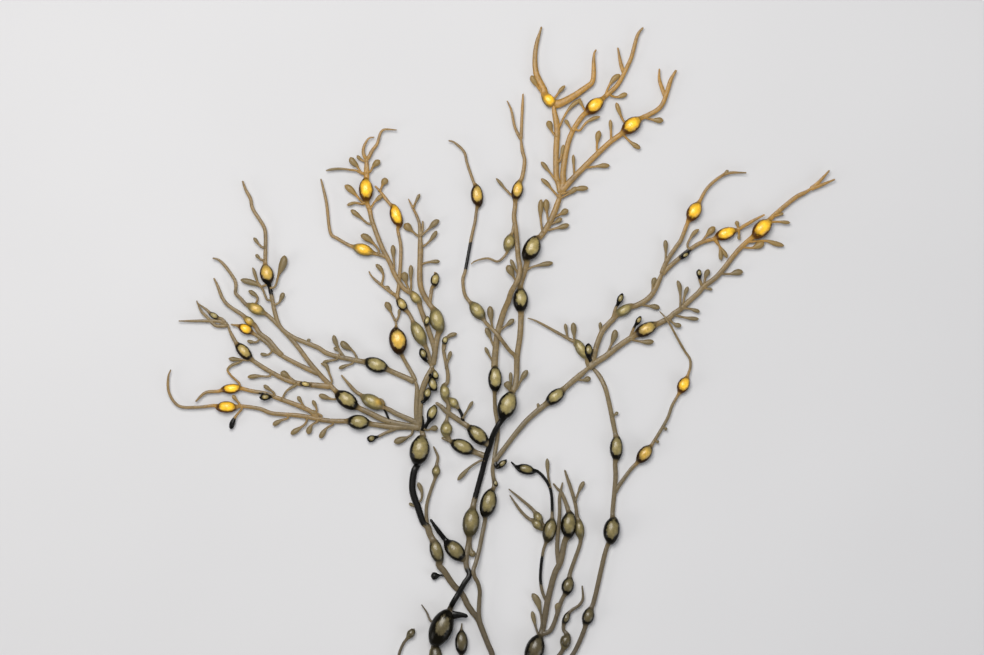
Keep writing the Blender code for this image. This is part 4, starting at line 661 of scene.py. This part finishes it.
def club_tube(gather, points, width, level, lines):
    """One receptacle: a thin stalk out of the strap, and a drop-shaped head."""
    line = [place(x, y, level) for x, y in points]
    root = nearest(line[0], lines)
    if np.linalg.norm(root[:2] - line[0][:2]) > 0.5 * PIXEL:
        line.insert(0, root)
    else:
        line[0] = root
    line = np.array(line)
    line[1:, 2] = root[2] + (level / 1000.0 - root[2]) * 0.5
    centres, stations, _ = smooth_line(line, CLUB_STEP, CLUB_ROUNDING)
    share = stations / stations[-1]
    half_head = width * PIXEL / 2.0
    flare = 1.0 + STALK_FLARE * np.exp(-stations / STALK_FLARE_LENGTH)
    closing = np.clip((share - STALK_END) / (1.0 - STALK_END), 0.0, 1.0)
    half_stalk = min(STALK_WIDTH / 2.0, half_head) * flare * np.sqrt(1.0 - closing ** 2)
    head = half_head * np.interp(share, *HEAD_PROFILE)
    half_width = np.maximum((half_stalk ** 3 + head ** 3) ** (1.0 / 3.0), THINNEST_CLUB)
    blend = np.clip(head / half_head, 0.0, 1.0)
    half_height = half_width * (STALK_HEIGHT_RATIO + (CLUB_HEIGHT_RATIO - STALK_HEIGHT_RATIO) * blend)
    rings, _ = skin(centres, half_width, half_height, CLUB_SIDES, 1.0)
    # Clubs on the marked runs take the black painted reflection too.
    gather.add(rings, head=np.maximum(blend, 0.25)[:, None], ink=black_reflection_field(centres, rings))


def nearest(point, lines):
    """The closest point of the straps' centre lines."""
    every = np.concatenate(lines)
    return every[np.argmin(np.sum((every[:, :2] - point[:2]) ** 2, axis=1))].copy()


def run_distance(pixels, run):
    """Distance in pixels of each place from a run of points."""
    best = np.full(len(pixels), 1e9)
    for start, step in zip(run, np.diff(run, axis=0)):
        share = np.clip((pixels - start) @ step / (step @ step), 0.0, 1.0)
        best = np.minimum(best, np.linalg.norm(pixels - start - share[:, None] * step, axis=1))
    return best


def painted_fields(points):
    """How golden each point is, and how much painted shade it takes for lying low down on the plant."""
    across, down = to_pixels(points).T
    gold = np.clip((GOLD_ROW - down) / GOLD_ROWS, 0.0, GOLD_MOST)
    for x, y, reach, amount in GOLD_SPOTS:
        distance = np.hypot(across - x, down - y) / reach
        gold = np.maximum(gold, amount * np.exp(-distance ** 2 * 0.9))
    # Painted shade that darkens the plant from the second row down.
    return {"gold": np.clip(gold, 0.0, 1.0), "painted_lower_shade": np.clip((down - SHADE_ROW) / SHADE_ROWS, 0.0, 1.0)}


def linked(name, data):
    """A new object in the scene."""
    made = bpy.data.objects.new(name, data)
    bpy.context.scene.collection.objects.link(made)
    return made


def mesh_piece(name, points, faces, paint):
    """A smooth object from points and faces, with a value at every point for each painted field."""
    mesh = bpy.data.meshes.new(name)
    mesh.from_pydata([tuple(p) for p in points], [], faces)
    for field, values in paint.items():
        layer = mesh.attributes.new(field, "FLOAT", "POINT")
        layer.data.foreach_set("value", np.asarray(values, dtype=np.float32))
    mesh.polygons.foreach_set("use_smooth", [True] * len(mesh.polygons))
    mesh.update()
    return linked(name, mesh)


def frond_piece(node, level, straps, clubs, jitter, waver):
    """The fine piece of one frond. The draws from jitter follow the order in which the solids were made."""
    gather, lines = Gather(), []
    for number, (base_width, tip_width, *points) in enumerate(straps):
        x, y = points[0][1:3] if points[0][0] == "egg" else points[0][:2]
        lift, root = level, None
        if number:
            lift += jitter.uniform(-STRAP_LIFT, STRAP_LIFT)
            root = nearest(place(x, y, 0.0), lines)
            root[2] += jitter.uniform(-1, 1) * ROOT_LIFT
        else:
            x, y = HOLDFAST_X + (x - HOLDFAST_X) * TRUNK_START, HOLDFAST_Y + (y - HOLDFAST_Y) * TRUNK_START
            points.insert(0, (x, y, TRUNK_START_HEIGHT))
        lines.append(strap_tube(gather, points, base_width, tip_width, lift, root, waver))
    for width, *points in clubs:
        club_tube(gather, points, width, level + jitter.uniform(-CLUB_LIFT, CLUB_LIFT), lines)
    points = np.concatenate(gather.points)
    paint = {name: np.concatenate(values) for name, values in gather.paint.items()}
    paint.update(painted_fields(points))
    return mesh_piece(node + "_wrack", points, gather.faces, paint)


def holdfast_piece():
    """The gripping disc: a low dome with lobes that reach out over the rock."""
    sides, rings, points = 72, 14, []
    for ring in range(rings):
        share = math.cos(0.5 * math.pi * ring / rings)
        for k in range(sides):
            angle = 2.0 * math.pi * k / sides
            lobes = sum(size * math.sin(count * angle + turn) for count, size, turn in HOLDFAST_LOBES)
            reach = HOLDFAST_RADIUS * share * (0.95 + lobes)
            ripple = 1.0 + 0.06 * math.sin(7 * angle + 1.9) * share
            height = HOLDFAST_HEIGHT * math.sin(0.5 * math.pi * ring / rings) ** 0.8 * ripple
            points.append((math.cos(angle) * reach + PLANT_X, math.sin(angle) * reach + PLANT_Y, height))
    faces = [tuple(range(sides))[::-1]] + wall(0, rings, sides)
    top = len(points)
    points.append((PLANT_X, PLANT_Y, HOLDFAST_HEIGHT))
    start = (rings - 1) * sides
    faces += [(start + k, start + (k + 1) % sides, top) for k in range(sides)]
    return mesh_piece("holdfast_disc", points, faces, {})


class Nodes:
    """Short calls for building a shader. A value is a number, a colour or the output of another node."""

    def __init__(self, name):
        self.material = bpy.data.materials.new(name)
        self.material.use_nodes = True
        self.tree = self.material.node_tree
        self.shader = self.tree.nodes["Principled BSDF"]
        self.coordinates = self.node("ShaderNodeTexCoord", {})["Object"]

    def put(self, socket, value):
        if isinstance(value, bpy.types.NodeSocket):
            self.tree.links.new(value, socket)
        elif isinstance(value, tuple):
            socket.default_value = (*value, 1.0)
        else:
            socket.default_value = value

    def node(self, kind, inputs, **settings):
        """The outputs of a new node, made with these settings and inputs."""
        made = self.tree.nodes.new(kind)
        for name, value in settings.items():
            setattr(made, name, value)
        for key, value in inputs.items():
            self.put(made.inputs[key], value)
        return made.outputs

    def field(self, name):
        return self.node("ShaderNodeAttribute", {}, attribute_name=name)["Fac"]

    def mix(self, factor, a, b, blend="MIX"):
        inputs = {"Factor": factor, 6: a, 7: b}
        return self.node("ShaderNodeMix", inputs, data_type="RGBA", blend_type=blend)[2]

    def math(self, operation, a, b, clamp=False):
        return self.node("ShaderNodeMath", {0: a, 1: b}, operation=operation, use_clamp=clamp)[0]

    def times(self, a, b):
        return self.math("MULTIPLY", a, b)

    def minus(self, a, b):
        return self.math("SUBTRACT", a, b)

    def scaled(self, colour, factor, low, high):
        """A colour made darker or lighter by a factor that runs from low to high."""
        return self.mix(1.0, colour, self.mix(factor, (low, low, low), (high, high, high)), "MULTIPLY")

    def remap(self, value, low, high, to_low=0.0, to_high=1.0):
        inputs = {"Value": value, "From Min": low, "From Max": high, "To Min": to_low, "To Max": to_high}
        return self.node("ShaderNodeMapRange", inputs, interpolation_type="SMOOTHSTEP")["Result"]

    def noise(self, scale, detail, roughness=0.55):
        inputs = {"Vector": self.coordinates, "Scale": scale, "Detail": detail, "Roughness": roughness}
        return self.node("ShaderNodeTexNoise", inputs)["Fac"]

    def cells(self, scale):
        return self.node("ShaderNodeTexVoronoi", {"Vector": self.coordinates, "Scale": scale})["Distance"]

    def bump(self, height, strength, distance):
        inputs = {"Height": height, "Strength": strength, "Distance": distance}
        self.put(self.shader.inputs["Normal"], self.node("ShaderNodeBump", inputs)["Normal"])


# Linear colours, and the sizes of the patterns in cells to a metre.
STRAP_OLIVE, STRAP_GOLD = (0.185, 0.138, 0.064), (0.43, 0.225, 0.035)
# Strap colour for the painted shade lower down, also for its broad dark blotches.
STRAP_SHADE_AND_BLOTCH = (0.085, 0.064, 0.034)
BLADDER_KHAKI, BLADDER_GOLD = (0.245, 0.2, 0.078), (0.78, 0.43, 0.026)
# Bladder top colour for the painted shade lower down.
BLADDER_SHADED = (0.055, 0.044, 0.022)
# Painted shade on a bladder's rim and underside: near black, amber on golden bladders, and pale where
# marked.
RIM_SHADE_DARK, RIM_SHADE_AMBER = (0.004, 0.003, 0.001), (0.08, 0.028, 0.002)
RIM_SHADE_PALE = (0.17, 0.14, 0.06)
HEAD_OLIVE, HEAD_GOLD = (0.145, 0.115, 0.055), (0.3, 0.19, 0.055)
# Black painted reflection, also darker old stretches.
REFLECTED_BLACK = (0.003, 0.0026, 0.002)
CRUST_DARK, CRUST_BROWN, CRUST_PALE = (0.045, 0.032, 0.018), (0.15, 0.11, 0.055), (0.26, 0.215, 0.14)
FLOOR_TONES = (0.6, 0.6, 0.61), (0.66, 0.66, 0.67)
BROAD, BLOTCH, FINE, SPECKLE, PIMPLES = 90.0, 330.0, 520.0, 2100.0, 1500.0


def wrack_material():
    """Olive straps with golden tips, bladders with a painted highlight and painted rim shade, pimpled heads,
    black painted reflection (also darker old stretches) on the marked runs, and painted shade lower down.
    """
    n = Nodes("wet_wrack")
    gold, ink, swell = n.field("gold"), n.field("ink"), n.field("swell")
    crown, head, painted_lower_shade, pale = n.field("crown"), n.field("head"), n.field("painted_lower_shade"), n.field("pale")
    broad, fine, speckle = n.noise(BROAD, 3.0), n.noise(FINE, 5.0, 0.65), n.noise(SPECKLE, 3.0)
    blotch = n.noise(BLOTCH, 6.0, 0.62)

    # Painted shade darkens the straps lower down.
    strap_colour = n.mix(gold, n.mix(painted_lower_shade, STRAP_OLIVE, STRAP_SHADE_AND_BLOTCH), STRAP_GOLD)
    strap_colour = n.scaled(strap_colour, n.remap(fine, 0.30, 0.72, 0.66, 1.22), 0.0, 1.0)
    strap_colour = n.mix(n.remap(broad, 0.52, 0.70, 0.0, 0.35), strap_colour, STRAP_SHADE_AND_BLOTCH)

    ripe = n.remap(gold, 0.10, 0.90)
    # The bladder's lit top: its colour, with painted shade lower down on the plant, then a painted highlight
    # towards the shine point.
    top = n.mix(ripe, n.mix(painted_lower_shade, BLADDER_KHAKI, BLADDER_SHADED), BLADDER_GOLD)
    top = n.scaled(top, n.remap(crown, 0.30, 0.95), 0.56, 1.55)
    top = n.scaled(top, n.remap(blotch, 0.35, 0.68), 0.74, 1.12)
    # Painted shade on the bladder's rim and underside, paler where marked.
    rim = n.mix(pale, n.mix(ripe, RIM_SHADE_DARK, RIM_SHADE_AMBER), RIM_SHADE_PALE)
    # Ragged edge between the painted highlight and the painted rim shade.
    ragged = n.math("ADD", crown, n.times(n.minus(blotch, 0.5), 0.75))
    ragged = n.math("ADD", ragged, n.times(ripe, 0.08))
    ragged = n.math("ADD", ragged, n.times(pale, 0.25))
    painted_lit_share = n.remap(ragged, 0.37, 0.56)
    bladder = n.mix(painted_lit_share, rim, top)

    heads = n.mix(gold, HEAD_OLIVE, HEAD_GOLD)
    pimples = n.cells(PIMPLES)
    heads = n.mix(n.remap(pimples, 0.10, 0.34, 0.55, 0.0), heads, STRAP_GOLD)

    colour = n.mix(n.remap(swell, 0.05, 0.75), strap_colour, bladder)
    colour = n.mix(n.remap(head, 0.2, 0.7), colour, heads)
    # Black painted reflection of a dark sky, also darker old stretches, spared on the bladders' painted
    # highlights.
    spread = n.math("ADD", ink, n.times(n.minus(blotch, 0.5), 1.7))
    spared = n.remap(crown, 0.45, 0.80, 0.0, 0.75)
    black = n.times(n.remap(spread, 0.22, 0.70), n.minus(1.0, spared))
    colour = n.mix(black, colour, REFLECTED_BLACK)
    n.put(n.shader.inputs["Base Color"], colour)

    gloss = n.minus(0.42, n.times(swell, 0.24))
    gloss = n.math("SUBTRACT", gloss, n.times(black, 0.14), clamp=True)
    n.put(n.shader.inputs["Roughness"], n.math("ADD", gloss, n.times(speckle, 0.10)))
    # Less gloss and no coat where the painted rim shade or the black shows.
    painted_rim_shade_share = n.times(swell, n.minus(1.0, painted_lit_share))
    dull = n.times(n.math("MAXIMUM", black, painted_rim_shade_share), 0.26)
    n.put(n.shader.inputs["Specular IOR Level"], n.minus(0.38, dull))
    n.put(n.shader.inputs["Coat Weight"], n.minus(0.14, n.times(painted_rim_shade_share, 0.14)))
    n.shader.inputs["Coat Roughness"].default_value = 0.08
    grain = n.math("ADD", n.times(fine, 0.7), n.times(speckle, 0.25))
    grain = n.minus(grain, n.times(n.times(head, pimples), 0.8))
    n.bump(grain, 0.55, 0.0004)
    return n.material


def holdfast_material():
    n = Nodes("holdfast_crust")
    broad, fine = n.noise(160.0, 4.0), n.noise(900.0, 5.0, 0.7)
    colour = n.mix(n.remap(broad, 0.35, 0.68), CRUST_DARK, CRUST_BROWN)
    colour = n.mix(n.remap(fine, 0.55, 0.75, 0.0, 0.6), colour, CRUST_PALE)
    n.put(n.shader.inputs["Base Color"], colour)
    n.put(n.shader.inputs["Roughness"], n.remap(fine, 0.2, 0.8, 0.38, 0.66))
    n.bump(n.math("ADD", broad, n.times(fine, 0.5)), 0.7, 0.0012)
    return n.material


def floor_material():
    n = Nodes("pale_floor")
    n.put(n.shader.inputs["Base Color"], n.mix(n.noise(3.0, 2.0), *FLOOR_TONES))
    n.shader.inputs["Roughness"].default_value = 0.85
    n.shader.inputs["Specular IOR Level"].default_value = 0.1
    return n.material


def studio():
    """A plain pale floor, soft light from above and a camera straight over the plant."""
    bpy.ops.mesh.primitive_plane_add(size=FLOOR_SIZE, location=(0.0, 0.0, -0.0002))
    floor = bpy.context.object
    floor.name = "floor"
    floor.data.materials.append(floor_material())
    middle = place(PHOTO_WIDTH / 2.0, PHOTO_HEIGHT / 2.0, 0.0)
    for name, spot, size, power, colour in LIGHTS:
        light = bpy.data.lights.new(name, "AREA")
        light.shape = "DISK"
        light.size = size
        light.energy = power
        light.color = colour
        lamp = linked(name, light)
        lamp.location = spot
        lamp.rotation_euler = Vector(middle - spot).to_track_quat("-Z", "Y").to_euler()
    bpy.context.scene.view_settings.view_transform = "Standard"

    world = bpy.data.worlds.new("soft_room")
    world.use_nodes = True
    background = world.node_tree.nodes["Background"]
    background.inputs["Color"].default_value = ROOM_LIGHT
    background.inputs["Strength"].default_value = ROOM_STRENGTH
    bpy.context.scene.world = world

    camera = bpy.data.cameras.new("camera")
    camera.sensor_width = SENSOR
    camera.lens = SENSOR * CAMERA_HEIGHT / (PHOTO_WIDTH * PIXEL)
    camera.clip_end = 20.0
    eye = linked("camera", camera)
    eye.location = (middle[0], middle[1], CAMERA_HEIGHT)
    bpy.context.scene.camera = eye


def main():
    jitter, waver = random.Random(7), random.Random(19)
    wrack = wrack_material()
    for node, (level, straps, clubs) in FRONDS.items():
        piece = frond_piece(node, level, straps, clubs, jitter, waver)
        piece.data.materials.append(wrack)
        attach(piece, "root")
        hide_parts(node)
    disc = holdfast_piece()
    disc.data.materials.append(holdfast_material())
    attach(disc, "root")
    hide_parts("holdfast")
    studio()
    bpy.context.view_layer.update()


main()
